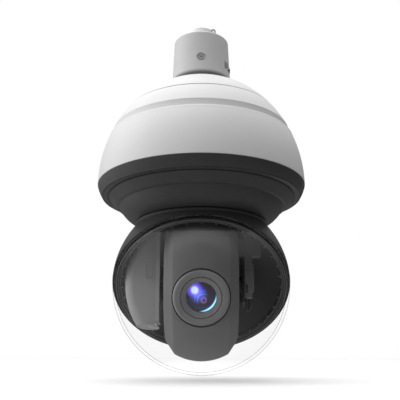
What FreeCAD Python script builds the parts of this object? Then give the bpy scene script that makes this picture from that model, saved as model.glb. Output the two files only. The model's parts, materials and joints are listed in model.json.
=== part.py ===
import FreeCAD, Part
import math
import os
import Sketcher
from FreeCAD import Placement, Rotation, Vector

# A pan-tilt-zoom dome camera that hangs from a threaded stub.
# Frame: millimetres, +Z up, front of the camera towards -Y, +X to the right as seen from the front.
# Origin: on the pan axis, at the top face of the mount adapter.

doc = FreeCAD.newDocument("PtzCamera")
sheet = doc.addObject("Spreadsheet::Sheet", "Dims")

SIZES = {
    # threaded stub and mount adapter
    "stub_radius": 15, "stub_seat": 15.8, "stub_bore": 11, "stub_rise": 16, "stub_edge": 2.5,
    "stub_flange": 20, "stub_flange_thick": 4, "adapter_top_radius": 32.2, "adapter_base_radius": 34.4,
    "adapter_height": 57.6, "adapter_edge": 2.6, "adapter_roof": 8, "adapter_cavity": 28.4,
    "shelf_radius": 22.3, "shelf_top": 46, "shelf_thick": 4, "window_from": 54, "window_to": 119,
    "window_low": 42, "window_height": 10, "lock_screw_drop": 34.4, "lock_screw_radius": 3.2,
    "lock_screw_recess": 5.4, "lock_screw_recess_depth": 1.8, "eyelet_width": 6.4,
    "eyelet_height": 8.4, "eyelet_thick": 2.4, "eyelet_hole": 1.6, "eyelet_right": 14, "eyelet_front": 21.2,
    # bayonet
    "spigot_radius": 22, "spigot_bore": 18, "spigot_top": 30, "spigot_foot": 64,
    "spigot_flange_thick": 2.4, "lug_radius": 26, "lug_thick": 4, "lug_count": 8, "lug_angle": 16,
    "notch_angle": 20, "lock_ring_radius": 28, "lock_ring_height": 9.6, "tab_inner": 26.4,
    "tab_outer": 34, "tab_front": 10, "tab_back": 1, "tab_thick": 2,
    # white covers: half an ellipsoid of revolution
    "dome_radius": 116, "dome_height": 131.5, "dome_drop": 184, "cover_wall": 3, "neck_angle": 73,
    "seam_angle": 43, "seam_gap": 0.4, "band_angle": 29.7, "shoulder_angle": 24.9, "band_radius": 100.7,
    "band_wall": 2.8, "ledge_drop": 127.2, "ledge_round": 1.6, "cap_hole": 24, "cap_underside": 61.5,
    "lap_depth": 2, "lap_angle": 1.6, "gasket_inner": 4.6, "gasket_outer": 1.2,
    # dark lower housing
    "rim_gap": 0.4, "rim_land": 5.4, "base_wall": 3.6, "step_radius": 110.6, "step_drop": 196.3,
    "step_arc": 34, "ledge_radius": 104, "slope_radius": 94.5, "slope_drop": 206.5, "slope_wall": 2.8,
    "foot_radius": 91.5, "foot_drop": 207.3, "base_hole": 80, "boss_radius": 5, "boss_circle": 90,
    "screw_count": 6, "screw_radius": 2, "screw_length": 12, "screw_head": 4, "screw_head_height": 2.6,
    "flare_radius": 72.2, "flare_drop": 225.1, "flare_arc": 38, "flare_lip": 3.6, "flare_rim": 7,
    # chassis, neck column, pan bearing, pan drive
    "plate_drop": 186, "plate_thick": 4, "plate_radius": 106, "column_radius": 22, "column_bore": 18,
    "column_flange": 31, "column_foot": 34, "column_flange_thick": 4, "seat_radius": 70, "seat_wall": 3.5,
    "seat_lip": 2, "seat_lip_thick": 1.5, "bearing_drop": 210, "bearing_half": 5, "ball_size": 3,
    "ball_circle": 63, "race_play": 0.06, "race_gap": 1.8, "bearing_inner": 56, "bearing_balls": 20,
    "cage_half": 0.9, "hub_inner": 52, "hub_bore": 16, "hub_roof_drop": 204, "hub_roof_thick": 4,
    "hub_flange": 66, "hub_flange_thick": 3.3, "hub_shoulder": 58.4, "hub_shoulder_thick": 3,
    "pan_gear_teeth": 100, "pan_gear_bore": 40, "pan_pinion_teeth": 16, "pan_module": 1, "gear_thick": 5,
    "pinion_lift": 0.6, "shaft_radius": 2.5, "shaft_play": 0.06, "shaft_reach": 8, "motor_radius": 17,
    "motor_height": 30, "motor_bore": 9, "plug_width": 12, "plug_depth": 8, "plug_height": 5,
    "slip_radius": 12, "slip_play": 0.08, "slip_bore": 6, "slip_body": 17.8, "slip_top": 150,
    "slip_flange": 26, "slip_foot": 24, "slip_flange_thick": 3,
    # board, fan and heater on the chassis plate
    "board_top": 140, "board_thick": 1.6, "board_inner": 27, "board_outer": 88, "board_notch": 14,
    "standoff_place": 56, "standoff_radius": 3.5, "standoff_count": 4, "jack_half": 8, "jack_from": 53,
    "jack_to": 74, "jack_height": 13.5, "jack_wall": 2.1, "jack_depth": 13, "card_right": 52,
    "card_half": 8, "card_from": 18, "card_to": 34, "card_height": 2.4, "card_wall": 0.6,
    "power_place": -52, "reset_place": -38, "button_front": 40, "button_half": 3.5, "button_bore": 1.75,
    "button_radius": 1.7, "button_travel": 0.7, "button_length": 3.4, "button_floor": 1, "fan_front": 70,
    "fan_half": 30, "fan_height": 15, "fan_duct": 27.5, "fan_strut": 1.5, "fan_strut_thick": 2,
    "fan_post": 8, "fan_post_height": 2.5, "fan_pin": 1.5, "fan_pin_height": 9, "fan_play": 0.06,
    "fan_hub": 10, "fan_tip": 26.5, "fan_blades": 7, "fan_blade_height": 10, "fan_blade_thick": 1.2,
    "fan_pitch": 35, "fan_lift": 3.1, "heater_left": -82, "heater_right": -46, "heater_half": 22,
    "heater_base": 4, "heater_fin_pitch": 6.4, "heater_fin_thick": 2, "heater_fin_height": 9,
    "heater_fins": 6,
    # ball, window and its ring
    "ball_drop": 293, "ball_radius": 96, "ball_wall": 3, "ball_top": 63.5, "collar_radius": 73.2,
    "collar_top": 226.2, "collar_bevel": 1.6, "collar_draft": 0.6, "window_tilt": 50.5,
    "window_offset": 3.5, "seal_thick": 0.6, "clear_radius": 95.6, "clear_wall": 3, "ring_outer": 92.2,
    "ring_inner": 86, "ring_bead": 89.2, "ring_low": 2, "ring_step": 4.6, "ring_crest": 7.4,
    "ring_round": 1.05, "ring_lip": 0.4, "tick_count": 36, "tick_width": 1.6, "tick_length": 1.8,
    "tick_low": 1, "tick_height": 3.2,
    # yoke and tilt drive
    "yoke_thick": 4, "yoke_half": 44, "yoke_gap": 39.5, "yoke_round": 55, "yoke_front": 22,
    "right_front": 16, "yoke_back": 30, "left_toe": 12, "right_toe": 18, "left_knee": 10, "right_knee": 6,
    "left_arm_low": 335, "right_arm_low": 314, "pad_radius": 2.2, "pad_height": 4,
    "yoke_screw_circle": 60.5, "yoke_screw_head": 2.8, "yoke_screw_height": 2.2, "yoke_screw_socket": 1.3,
    "tilt_bearing": 13, "tilt_shaft": 8, "tilt_play": 0.05, "tilt_collar": 13, "tilt_collar_thick": 3,
    "tilt_overhang": 0.5, "tilt_module": 0.8, "tilt_gear_teeth": 48, "tilt_pinion_teeth": 16,
    "tilt_gear_thick": 4, "tilt_gear_gap": 0.6, "pinion_shaft": 2, "pinion_reach": 9,
    "tilt_motor_radius": 9, "tilt_motor_length": 22, "tilt_motor_bore": 10, "cheek_radius": 82,
    "cheek_wall": 2.5, "cheek_back": 32, "cheek_low": 45, "cheek_high": 55, "cheek_round": 10,
    "cheek_slot_left": 10.6, "cheek_slot_width": 7.4, "cheek_slot_low": 290, "cheek_slot_height": 20,
    "cheek_slot_depth": 1.2, "cheek_tab_left": 7.2, "cheek_tab_width": 3.6, "cheek_tab_low": 288,
    "cheek_tab_height": 14, "cheek_tab_depth": 1.4,
    # right bracket, stop rod and arm board
    "bracket_depth": 12, "bar_left": 45.5, "bar_right": 53, "bar_low": 311, "bar_high": 236,
    "cross_left": 38.6, "cross_right": 62.5, "cross_low": 267, "cross_high": 249, "rib_width": 2,
    "rib_low": 304, "rib_high": 276, "groove_at": 282.7, "groove_half": 0.5, "groove_depth": 1,
    "step_right": 48.6, "step_low": 306.5, "step_high": 297, "step_depth": 4, "rod_right": 46.8,
    "rod_front": 22, "rod_length": 12, "rod_radius": 1.1, "rod_tip": 1.9, "hook_wire": 1.1,
    "hook_right": 4, "hook_left": 4, "hook_rise": 3, "hook_out": 1, "arm_board_right": 52,
    "arm_board_back": 34, "arm_board_low": 318, "arm_board_high": 250, "chip_rise": 2,
    # tilting head
    "lens_angle": 19.5, "head_half": 38, "head_drum": 61, "chamfer_half": 28.4, "chamfer_radius": 73.5,
    "crown_arc": 58, "head_wall": 2.5, "head_round": 5, "front_sweep": 210, "shell_gap": 0.5,
    "boss_hole": 29.2, "bezel_radius": 28.2, "bezel_inner": 20.6, "bezel_face": 76, "bezel_depth": 11,
    "bezel_round": 3, "lens_ring_inner": 15, "lens_face": 73, "lens_radius": 14.8, "lens_arc": 29,
    "lens_edge": 68.5, "barrel_radius": 20.4, "barrel_wall": 2.4, "barrel_back": 10, "barrel_flange": 3,
    "group_play": 0.08, "group_length": 8, "group_glass": 13, "group_arc": 30, "zoom_place": 30,
    "focus_place": 6, "sensor_half": 19, "sensor_height": 17, "sensor_thick": 1.6, "sensor_back": 15.6,
    "chip_half": 6, "sink_half": 17, "sink_height": 15, "sink_thick": 3, "fin_pitch": 6, "fin_thick": 2,
    "fin_length": 9, "fin_count": 6,
}


class Size:
    """A number together with the sheet expression that it comes from."""

    def __init__(self, value, text):
        self.value = float(value)
        self.text = text

    def __add__(self, other):
        other = as_size(other)
        return Size(self.value + other.value, "(%s + %s)" % (self.text, other.text))

    def __sub__(self, other):
        other = as_size(other)
        return Size(self.value - other.value, "(%s - %s)" % (self.text, other.text))

    def __mul__(self, other):
        other = as_size(other)
        return Size(self.value * other.value, "(%s * %s)" % (self.text, other.text))

    def __truediv__(self, other):
        other = as_size(other)
        return Size(self.value / other.value, "(%s / %s)" % (self.text, other.text))

    def __radd__(self, other):
        return as_size(other) + self

    def __rsub__(self, other):
        return as_size(other) - self

    def __rmul__(self, other):
        return as_size(other) * self

    def __neg__(self):
        return Size(-self.value, "(0 - %s)" % self.text)


def as_size(number):
    return number if isinstance(number, Size) else Size(number, "%.6g" % number)


def cosine(angle):
    angle = as_size(angle)
    return Size(math.cos(math.radians(angle.value)), "cos(%s)" % angle.text)


def sine(angle):
    angle = as_size(angle)
    return Size(math.sin(math.radians(angle.value)), "sin(%s)" % angle.text)


def root(number):
    return Size(math.sqrt(number.value), "sqrt(%s)" % number.text)


def leg(long_side, other_side):
    """The third side of a right triangle."""
    return root(as_size(long_side) * long_side - as_size(other_side) * other_side)


class Sheet:
    """The driving dimensions, each as a Size."""


d = Sheet()
for row, (alias, number) in enumerate(SIZES.items(), start=1):
    sheet.set("A%d" % row, alias)
    sheet.set("B%d" % row, "%g" % number)
    sheet.setAlias("B%d" % row, alias)
    setattr(d, alias, Size(number, "Dims." + alias))
doc.recompute()

parts = []
cuts = []


# ---------------------------------------------------------------- modelling helpers

def bind(thing, prop, size):
    thing.setExpression(prop, as_size(size).text)


def origin_of(body, role):
    for feature in body.Origin.OriginFeatures:
        if feature.Role == role:
            return feature
    raise ValueError(role)


def new_body(label, height=None, turn=None):
    """A body whose own frame may be lifted along Z and turned about X."""
    body = doc.addObject("PartDesign::Body", label)
    body.Label = label
    if turn is not None:
        body.Placement = Placement(Vector(0, 0, 0), Rotation(Vector(1, 0, 0), turn.value))
    if height is not None:
        bind(body, "Placement.Base.z", height)
    parts.append(body)
    return body


def new_sketch(body, plane="XZ_Plane", offset=None):
    sketch = body.newObject("Sketcher::SketchObject", body.Name + "Sketch")
    sketch.AttachmentSupport = [(origin_of(body, plane), "")]
    sketch.MapMode = "FlatFace"
    if offset is not None:
        offset = as_size(offset)
        sketch.AttachmentOffset = Placement(Vector(0, 0, offset.value), Rotation())
        bind(sketch, "AttachmentOffset.Base.z", offset)
    return sketch


def fix_point(sketch, geometry, point, across, up):
    """Hold one point of the sketch at a place given by two sizes."""
    for kind, size, axis in (("DistanceX", as_size(across), -2), ("DistanceY", as_size(up), -1)):
        if abs(size.value) < 1e-9:
            sketch.addConstraint(Sketcher.Constraint("PointOnObject", geometry, point, axis))
        elif size.value > 0:
            index = sketch.addConstraint(Sketcher.Constraint(kind, -1, 1, geometry, point, size.value))
            bind(sketch, "Constraints[%d]" % index, size)
        else:
            index = sketch.addConstraint(Sketcher.Constraint(kind, geometry, point, -1, 1, -size.value))
            bind(sketch, "Constraints[%d]" % index, -size)


def arc_centre(start, end, radius):
    """Centre of the short arc from start to end, counter-clockwise when radius is positive."""
    middle = (start + end) / 2
    half = (end - start).Length / 2
    side = Vector(-(end.y - start.y), end.x - start.x, 0).normalize()
    reach = math.sqrt(max(radius * radius - half * half, 0))
    return middle + side * math.copysign(reach, radius)


def draw(sketch, corners):
    """Draw a closed outline. A corner is (across, up) or (across, up, radius of the arc that leaves it).
    A positive radius turns counter-clockwise, a negative one clockwise."""
    points = [Vector(as_size(c[0]).value, as_size(c[1]).value, 0) for c in corners]
    edges = []
    for i, corner in enumerate(corners):
        start = points[i]
        end = points[(i + 1) % len(points)]
        if len(corner) == 2:
            index = sketch.addGeometry(Part.LineSegment(start, end), False)
            edges.append((index, 1, 2))
            continue
        radius = as_size(corner[2])
        centre = arc_centre(start, end, radius.value)
        first, last = (start, end) if radius.value > 0 else (end, start)
        from_angle = math.atan2(first.y - centre.y, first.x - centre.x)
        to_angle = math.atan2(last.y - centre.y, last.x - centre.x)
        circle = Part.Circle(centre, Vector(0, 0, 1), abs(radius.value))
        index = sketch.addGeometry(Part.ArcOfCircle(circle, from_angle, to_angle), False)
        edges.append((index, 1, 2) if radius.value > 0 else (index, 2, 1))
        held = sketch.addConstraint(Sketcher.Constraint("Radius", index, abs(radius.value)))
        bind(sketch, "Constraints[%d]" % held, radius if radius.value > 0 else -radius)
    for i, edge in enumerate(edges):
        following = edges[(i + 1) % len(edges)]
        sketch.addConstraint(Sketcher.Constraint("Coincident", edge[0], edge[2], following[0], following[1]))
    for corner, edge in zip(corners, edges):
        fix_point(sketch, edge[0], edge[1], corner[0], corner[1])


def draw_circle(sketch, across, up, radius):
    radius = as_size(radius)
    centre = Vector(as_size(across).value, as_size(up).value, 0)
    index = sketch.addGeometry(Part.Circle(centre, Vector(0, 0, 1), radius.value), False)
    held = sketch.addConstraint(Sketcher.Constraint("Radius", index, radius.value))
    bind(sketch, "Constraints[%d]" % held, radius)
    fix_point(sketch, index, 3, across, up)


def revolve(body, corners, axis="V_Axis", sweep=None):
    """Turn an outline in the XZ plane about Z (V_Axis) or X (H_Axis)."""
    sketch = new_sketch(body)
    draw(sketch, corners)
    feature = body.newObject("PartDesign::Revolution", body.Name + "Revolution")
    feature.Profile = (sketch, [""])
    feature.ReferenceAxis = (sketch, [axis])
    feature.Angle = 360
    if sweep is not None:
        feature.Midplane = True
        bind(feature, "Angle", sweep)
    return feature


def extrude(body, sketch, length, backwards=False, midplane=False):
    feature = body.newObject("PartDesign::Pad", body.Name + "Pad")
    feature.Profile = (sketch, [""])
    feature.Reversed = backwards
    feature.Midplane = midplane
    bind(feature, "Length", length)
    return feature


def cut(body, sketch, depth=None, backwards=False, midplane=False):
    """Pocket against the sketch's normal, along it when backwards, or right through without a depth."""
    feature = body.newObject("PartDesign::Pocket", body.Name + "Pocket")
    feature.Profile = (sketch, [""])
    feature.Reversed = backwards
    feature.Midplane = midplane
    if depth is None:
        feature.Type = "ThroughAll"
    else:
        bind(feature, "Length", depth)
    cuts.append(feature)
    return feature


def repeat(body, features, count, axis="Z_Axis"):
    feature = body.newObject("PartDesign::PolarPattern", body.Name + "Pattern")
    feature.Originals = features
    feature.Axis = (origin_of(body, axis), [""])
    feature.Angle = 360
    bind(feature, "Occurrences", count)
    body.Tip = feature
    return feature


def turned(label, corners, height=None, turn=None):
    body = new_body(label, height, turn)
    revolve(body, corners)
    return body


def plate(label, plane, offset, corners, thickness):
    body = new_body(label)
    sketch = new_sketch(body, plane, offset)
    draw(sketch, corners)
    extrude(body, sketch, thickness)
    return body


def rectangle(low_across, high_across, low_up, high_up):
    return [(low_across, low_up), (high_across, low_up), (high_across, high_up), (low_across, high_up)]


def wedge(inner, outer, from_angle, to_angle):
    """A four-sided patch between two radii and two bearings, measured from the front towards +X."""
    corners = ((inner, from_angle), (outer, from_angle), (outer, to_angle), (inner, to_angle))
    return [(radius * sine(angle), -(radius * cosine(angle))) for radius, angle in corners]


def tube(inner, outer, low, high):
    return [(inner, low), (outer, low), (outer, high), (inner, high)]


def on_dome(inset, angle):
    """A point of the covers' ellipse, moved inwards by inset, at a parametric angle above the rim."""
    across = (d.dome_radius - inset) * cosine(angle)
    up = (d.dome_height - inset) * sine(angle) - d.dome_drop
    return across, up


def dome_arc(inset, angle):
    """Radius of curvature of that ellipse at an angle, which stands in for a short stretch of it."""
    wide = d.dome_radius - inset
    tall = d.dome_height - inset
    square = wide * wide * sine(angle) * sine(angle) + tall * tall * cosine(angle) * cosine(angle)
    return square * root(square) / (wide * tall)


def shape_part(label, shape, place=None):
    feature = doc.addObject("Part::Feature", label)
    feature.Label = label
    feature.Shape = shape
    if place is not None:
        feature.Placement = place
    parts.append(feature)
    return feature


def gear(teeth, module, thickness, bore, phase, slack=0.08):
    """A spur gear about Z with involute flanks, its first tooth turned to phase degrees."""
    pitch = teeth * module / 2
    base = pitch * math.cos(math.radians(20))
    tip = pitch + 0.9 * module
    foot = pitch - 1.2 * module
    roll = math.tan(math.radians(20)) - math.radians(20)
    half_tooth = math.pi / (2 * teeth) + roll - slack / pitch / 2
    start = max(foot, base)
    flank = []
    for step in range(5):
        radius = start + (tip - start) * step / 4
        lean = math.sqrt(max((radius / base) ** 2 - 1, 0))
        flank.append((radius, half_tooth - (lean - math.atan(lean))))
    side = [(foot, flank[0][1] + 0.1 / pitch)] + flank if foot < base else flank
    points = []
    for tooth in range(teeth):
        middle = math.radians(phase) + 2 * math.pi * tooth / teeth
        for radius, spread in [(r, -s) for r, s in side] + [(r, s) for r, s in reversed(side)]:
            angle = middle + spread
            points.append(Vector(radius * math.cos(angle), radius * math.sin(angle), 0))
    outline = Part.Wire(Part.makePolygon(points + [points[0]]))
    solid = Part.Face(outline).extrude(Vector(0, 0, thickness))
    if bore:
        solid = solid.cut(Part.makeCylinder(bore, thickness))
    return solid


# ---------------------------------------------------------------- mount: stub, adapter, bayonet

def make_stub():
    flange_low = -(d.adapter_roof + d.stub_flange_thick)
    return turned("pipe_stub", [
        (d.stub_bore, flange_low),
        (d.stub_flange, flange_low),
        (d.stub_flange, -d.adapter_roof),
        (d.stub_seat, -d.adapter_roof),
        (d.stub_seat, 0),
        (d.stub_radius, 0),
        (d.stub_radius, d.stub_rise - d.stub_edge, d.stub_edge),
        (d.stub_radius - d.stub_edge, d.stub_rise),
        (d.stub_bore, d.stub_rise)])


def make_adapter():
    body = turned("mount_adapter", [
        (d.stub_seat, -d.adapter_roof),
        (d.adapter_cavity, -d.adapter_roof),
        (d.adapter_cavity, -d.shelf_top),
        (d.shelf_radius, -d.shelf_top),
        (d.shelf_radius, -(d.shelf_top + d.shelf_thick)),
        (d.adapter_cavity, -(d.shelf_top + d.shelf_thick)),
        (d.adapter_cavity, -d.adapter_height),
        (d.adapter_base_radius, -d.adapter_height),
        (d.adapter_top_radius, -d.adapter_edge, d.adapter_edge),
        (d.adapter_top_radius - d.adapter_edge, 0),
        (d.stub_seat, 0)])
    window = new_sketch(body, "XY_Plane", -d.window_low)
    draw(window, wedge(d.adapter_cavity - 0.3, d.adapter_base_radius + 8, d.window_from, d.window_to))
    cut(body, window, d.window_height, backwards=True)
    hole = new_sketch(body, "XZ_Plane")
    draw_circle(hole, 0, -d.lock_screw_drop, d.lock_screw_radius)
    cut(body, hole, d.adapter_base_radius + 2, backwards=True)
    recess = new_sketch(body, "XZ_Plane", d.adapter_base_radius - 1 - d.lock_screw_recess_depth)
    draw_circle(recess, 0, -d.lock_screw_drop, d.lock_screw_recess)
    cut(body, recess, 6, backwards=True)
    return body


def make_lock_screw():
    """A set screw whose face shows in the recess at the front of the adapter."""
    body = new_body("adapter_lock_screw")
    sketch = new_sketch(body, "XZ_Plane", d.adapter_cavity - 0.2)
    draw_circle(sketch, 0, -d.lock_screw_drop, d.lock_screw_radius)
    extrude(body, sketch, d.adapter_base_radius - d.adapter_cavity - 1.7)
    socket = new_sketch(body, "XZ_Plane", d.adapter_base_radius - 3)
    radius = d.lock_screw_radius * 0.5
    corners = [(radius * cosine(a), radius * sine(a) - d.lock_screw_drop) for a in range(0, 360, 60)]
    draw(socket, corners)
    cut(body, socket, 6, backwards=True)
    return body


def make_eyelet():
    """A flat lug in front of the stub, for a safety wire."""
    half = d.eyelet_width / 2
    shoulder = d.eyelet_height - half
    body = new_body("safety_eyelet")
    sketch = new_sketch(body, "XZ_Plane", d.eyelet_front - d.eyelet_thick)
    draw(sketch, [
        (d.eyelet_right - half, 0),
        (d.eyelet_right + half, 0),
        (d.eyelet_right + half, shoulder, half),
        (d.eyelet_right, d.eyelet_height, half),
        (d.eyelet_right - half, shoulder)])
    extrude(body, sketch, d.eyelet_thick)
    hole = new_sketch(body, "XZ_Plane")
    draw_circle(hole, d.eyelet_right, shoulder, d.eyelet_hole)
    cut(body, hole, None, midplane=True)
    return body


def make_spigot():
    """The tube on top of the camera, with lugs that rest on the lock ring."""
    lug_low = -(d.shelf_top - d.lock_ring_height - 0.2)
    flange_top = -(d.spigot_foot - d.spigot_flange_thick)
    body = turned("bayonet_spigot", [
        (d.spigot_bore, -d.spigot_foot), (d.column_flange, -d.spigot_foot), (d.column_flange, flange_top),
        (d.spigot_radius, flange_top), (d.spigot_radius, -d.spigot_top), (d.spigot_bore, -d.spigot_top)])
    lug = new_sketch(body, "XY_Plane", lug_low)
    draw(lug, wedge(d.spigot_radius - 1, d.lug_radius, -(d.lug_angle / 2), d.lug_angle / 2))
    lug_pad = extrude(body, lug, d.lug_thick)
    repeat(body, [lug_pad], d.lug_count)
    return body


def make_lock_ring():
    """Turns by half a lug pitch so that its notches let the lugs pass. Its lever shows in the window."""
    body = turned("lock_ring", tube(d.shelf_radius, d.lock_ring_radius, -(d.shelf_top - 0.1),
                                    -(d.shelf_top - d.lock_ring_height)))
    half_pitch = Size(180, "180") / d.lug_count
    notch = new_sketch(body, "XY_Plane", -d.shelf_top)
    draw(notch, wedge(d.shelf_radius - 1, d.lug_radius + 0.5, half_pitch - d.notch_angle / 2,
                      half_pitch + d.notch_angle / 2))
    notch_cut = cut(body, notch, d.lock_ring_height + 1, backwards=True)
    repeat(body, [notch_cut], d.lug_count)
    lever = new_sketch(body, "XY_Plane", -(d.shelf_top - d.lock_ring_height + d.tab_thick + 1))
    draw(lever, rectangle(d.tab_inner, d.tab_outer, -d.tab_front, d.tab_back))
    extrude(body, lever, d.tab_thick)
    return body


# ---------------------------------------------------------------- covers and lower housing

def make_top_cap():
    """The cap round the neck, with a lip below it that the upper cover laps over."""
    wall = d.cover_wall
    lap = wall + 0.2
    lip = wall + d.lap_depth
    middle = (d.neck_angle + d.seam_angle) / 2
    return turned("top_cap", [
        (d.cap_hole, -d.cap_underside),
        (on_dome(wall, d.neck_angle)[0], -d.cap_underside, -dome_arc(wall, middle)),
        on_dome(wall, d.seam_angle + 3),
        on_dome(lip, d.seam_angle + 2),
        on_dome(lip, d.seam_angle - d.lap_angle),
        on_dome(lap, d.seam_angle - d.lap_angle),
        on_dome(lap, d.seam_angle),
        on_dome(0, d.seam_angle) + (dome_arc(0, middle),),
        on_dome(0, d.neck_angle),
        (d.cap_hole, on_dome(0, d.neck_angle)[1])])


def make_upper_cover():
    wall = d.cover_wall
    top = d.seam_angle - d.seam_gap
    middle = (top + d.band_angle) / 2
    return turned("upper_cover", [
        on_dome(wall, top) + (-dome_arc(wall, middle),),
        on_dome(wall, d.band_angle + 0.8),
        on_dome(0, d.band_angle) + (dome_arc(0, middle),),
        on_dome(0, top)])


def make_sun_shield():
    """The main white cover. Its neck is a plain grey band below the upper cover's lip."""
    wall = d.cover_wall
    inner = d.band_radius - d.band_wall
    band_top = on_dome(0, d.band_angle)[1] - 0.15
    shoulder = on_dome(0, d.shoulder_angle)
    inner_shoulder = on_dome(wall, d.shoulder_angle - 0.6)
    middle = d.shoulder_angle / 2
    return turned("sun_shield", [
        (inner, band_top),
        (inner, inner_shoulder[1]),
        inner_shoulder + (-dome_arc(wall, middle),),
        (d.dome_radius - wall, -d.dome_drop),
        (d.dome_radius, -d.dome_drop, dome_arc(0, middle)),
        shoulder + (d.ledge_round,),
        (shoulder[0] - d.ledge_round, -d.ledge_drop),
        (d.band_radius, -d.ledge_drop),
        (d.band_radius, band_top)])


def make_cover_gasket():
    return turned("cover_gasket", tube(d.dome_radius - d.gasket_inner, d.dome_radius - d.gasket_outer,
                                       -(d.dome_drop + d.rim_gap), -d.dome_drop))


def make_base_housing():
    """The dark lower housing: a rounded rim, a step, a slope, and six screw bosses inside."""
    wall = d.base_wall
    skirt = d.slope_wall
    rim_top = -(d.dome_drop + d.rim_gap)
    floor_top = -(d.slope_drop - wall)
    body = turned("base_housing", [
        (d.dome_radius, rim_top),
        (d.dome_radius - d.rim_land, rim_top),
        (d.step_radius - wall, -(d.step_drop - wall)),
        (d.ledge_radius - skirt, -(d.step_drop - wall)),
        (d.slope_radius - skirt, floor_top),
        (d.base_hole, floor_top),
        (d.base_hole, -d.foot_drop),
        (d.foot_radius + 0.6, -d.foot_drop),
        (d.slope_radius, -d.slope_drop),
        (d.ledge_radius, -(d.step_drop + 0.4)),
        (d.step_radius, -d.step_drop, d.step_arc)])
    boss = new_sketch(body, "XY_Plane", floor_top)
    draw_circle(boss, d.boss_circle, 0, d.boss_radius)
    boss_pad = extrude(body, boss, d.slope_drop - wall - d.plate_drop - d.plate_thick)
    hole = new_sketch(body, "XY_Plane", -(d.plate_drop + d.plate_thick))
    draw_circle(hole, d.boss_circle, 0, d.screw_radius + 0.05)
    hole_cut = cut(body, hole, 10)
    repeat(body, [boss_pad, hole_cut], d.screw_count)
    return body


def make_neck_flare():
    """The concave skirt between the housing and the turning ball."""
    lip = d.flare_radius - d.flare_lip
    return turned("neck_flare", [
        (lip, -d.flare_drop),
        (d.flare_radius, -d.flare_drop, d.flare_arc),
        (d.foot_radius, -d.foot_drop),
        (d.foot_radius - d.flare_rim, -d.foot_drop),
        (lip, -(d.flare_drop - d.flare_lip))])


# ---------------------------------------------------------------- chassis, bearing and pan drive

def make_chassis():
    """The round plate that carries everything, with the seat of the pan bearing under it."""
    low = -(d.plate_drop + d.plate_thick)
    seat_outer = d.seat_radius + d.seat_wall
    seat_low = -(d.bearing_drop + d.bearing_half)
    lip_low = seat_low - d.seat_lip_thick
    lip = d.seat_radius - d.seat_lip
    body = turned("main_chassis", [
        (d.column_bore, low), (d.seat_radius, low), (d.seat_radius, seat_low), (lip, seat_low),
        (lip, lip_low), (seat_outer, lip_low), (seat_outer, low), (d.plate_radius, low),
        (d.plate_radius, -d.plate_drop), (d.column_bore, -d.plate_drop)])
    screw_hole = new_sketch(body, "XY_Plane", -d.plate_drop)
    draw_circle(screw_hole, d.boss_circle, 0, d.screw_radius + 0.3)
    screw_cut = cut(body, screw_hole, d.plate_thick + 1)
    repeat(body, [screw_cut], d.screw_count)
    shaft_hole = new_sketch(body, "XY_Plane", -d.plate_drop)
    draw_circle(shaft_hole, 0, pan_centre(), d.shaft_radius + d.shaft_play)
    cut(body, shaft_hole, d.plate_thick + 1)
    return body


def make_column():
    """The tube that carries the chassis plate from the neck, with the cables inside it."""
    top = -d.spigot_foot
    head_low = top - d.column_flange_thick
    foot_top = -(d.plate_drop - d.column_flange_thick)
    return turned("neck_column", [
        (d.column_bore, -d.plate_drop), (d.column_foot, -d.plate_drop), (d.column_foot, foot_top),
        (d.column_radius, foot_top), (d.column_radius, head_low), (d.column_flange, head_low),
        (d.column_flange, top), (d.column_bore, top)])


def make_chassis_screws():
    body = new_body("chassis_screws")
    shank = new_sketch(body, "XY_Plane", -d.plate_drop)
    draw_circle(shank, d.boss_circle, 0, d.screw_radius)
    shank_pad = extrude(body, shank, d.screw_length, backwards=True)
    head = new_sketch(body, "XY_Plane", -d.plate_drop)
    draw_circle(head, d.boss_circle, 0, d.screw_head)
    head_pad = extrude(body, head, d.screw_head_height)
    socket = new_sketch(body, "XY_Plane", -(d.plate_drop - d.screw_head_height / 2))
    draw_circle(socket, d.boss_circle, 0, d.screw_head * 0.4)
    socket_cut = cut(body, socket, d.screw_head_height, backwards=True)
    repeat(body, [shank_pad, head_pad, socket_cut], d.screw_count)
    return body


def bearing_ring(label, wall_side, race_side, groove_turn):
    """One race of the pan bearing, with a groove that the balls run in."""
    low = -(d.bearing_drop + d.bearing_half)
    high = -(d.bearing_drop - d.bearing_half)
    groove = leg(d.ball_size + d.race_play, d.race_gap)
    return turned(label, [
        (wall_side, low), (race_side, low),
        (race_side, -d.bearing_drop - groove, (d.ball_size + d.race_play) * groove_turn),
        (race_side, -d.bearing_drop + groove),
        (race_side, high), (wall_side, high)])


def make_bearing_balls():
    """The balls of the pan bearing and the thin cage that spaces them."""
    circle = d.ball_circle.value
    height = -d.bearing_drop.value
    size = d.ball_size.value
    count = int(d.bearing_balls.value)
    half = size + 0.8
    low = Vector(0, 0, height - half)
    cage = Part.makeCylinder(circle + d.cage_half.value, 2 * half, low)
    cage = cage.cut(Part.makeCylinder(circle - d.cage_half.value, 2 * half, low))
    balls = []
    for i in range(count):
        angle = 2 * math.pi * i / count
        outwards = Vector(math.cos(angle), math.sin(angle), 0)
        place = outwards * circle + Vector(0, 0, height)
        balls.append(Part.makeSphere(size, place))
        cage = cage.cut(Part.makeCylinder(size + 0.05, 2 * size, place - outwards * size, outwards))
    return shape_part("pan_bearing_balls", Part.makeCompound(balls + [cage]))


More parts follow.
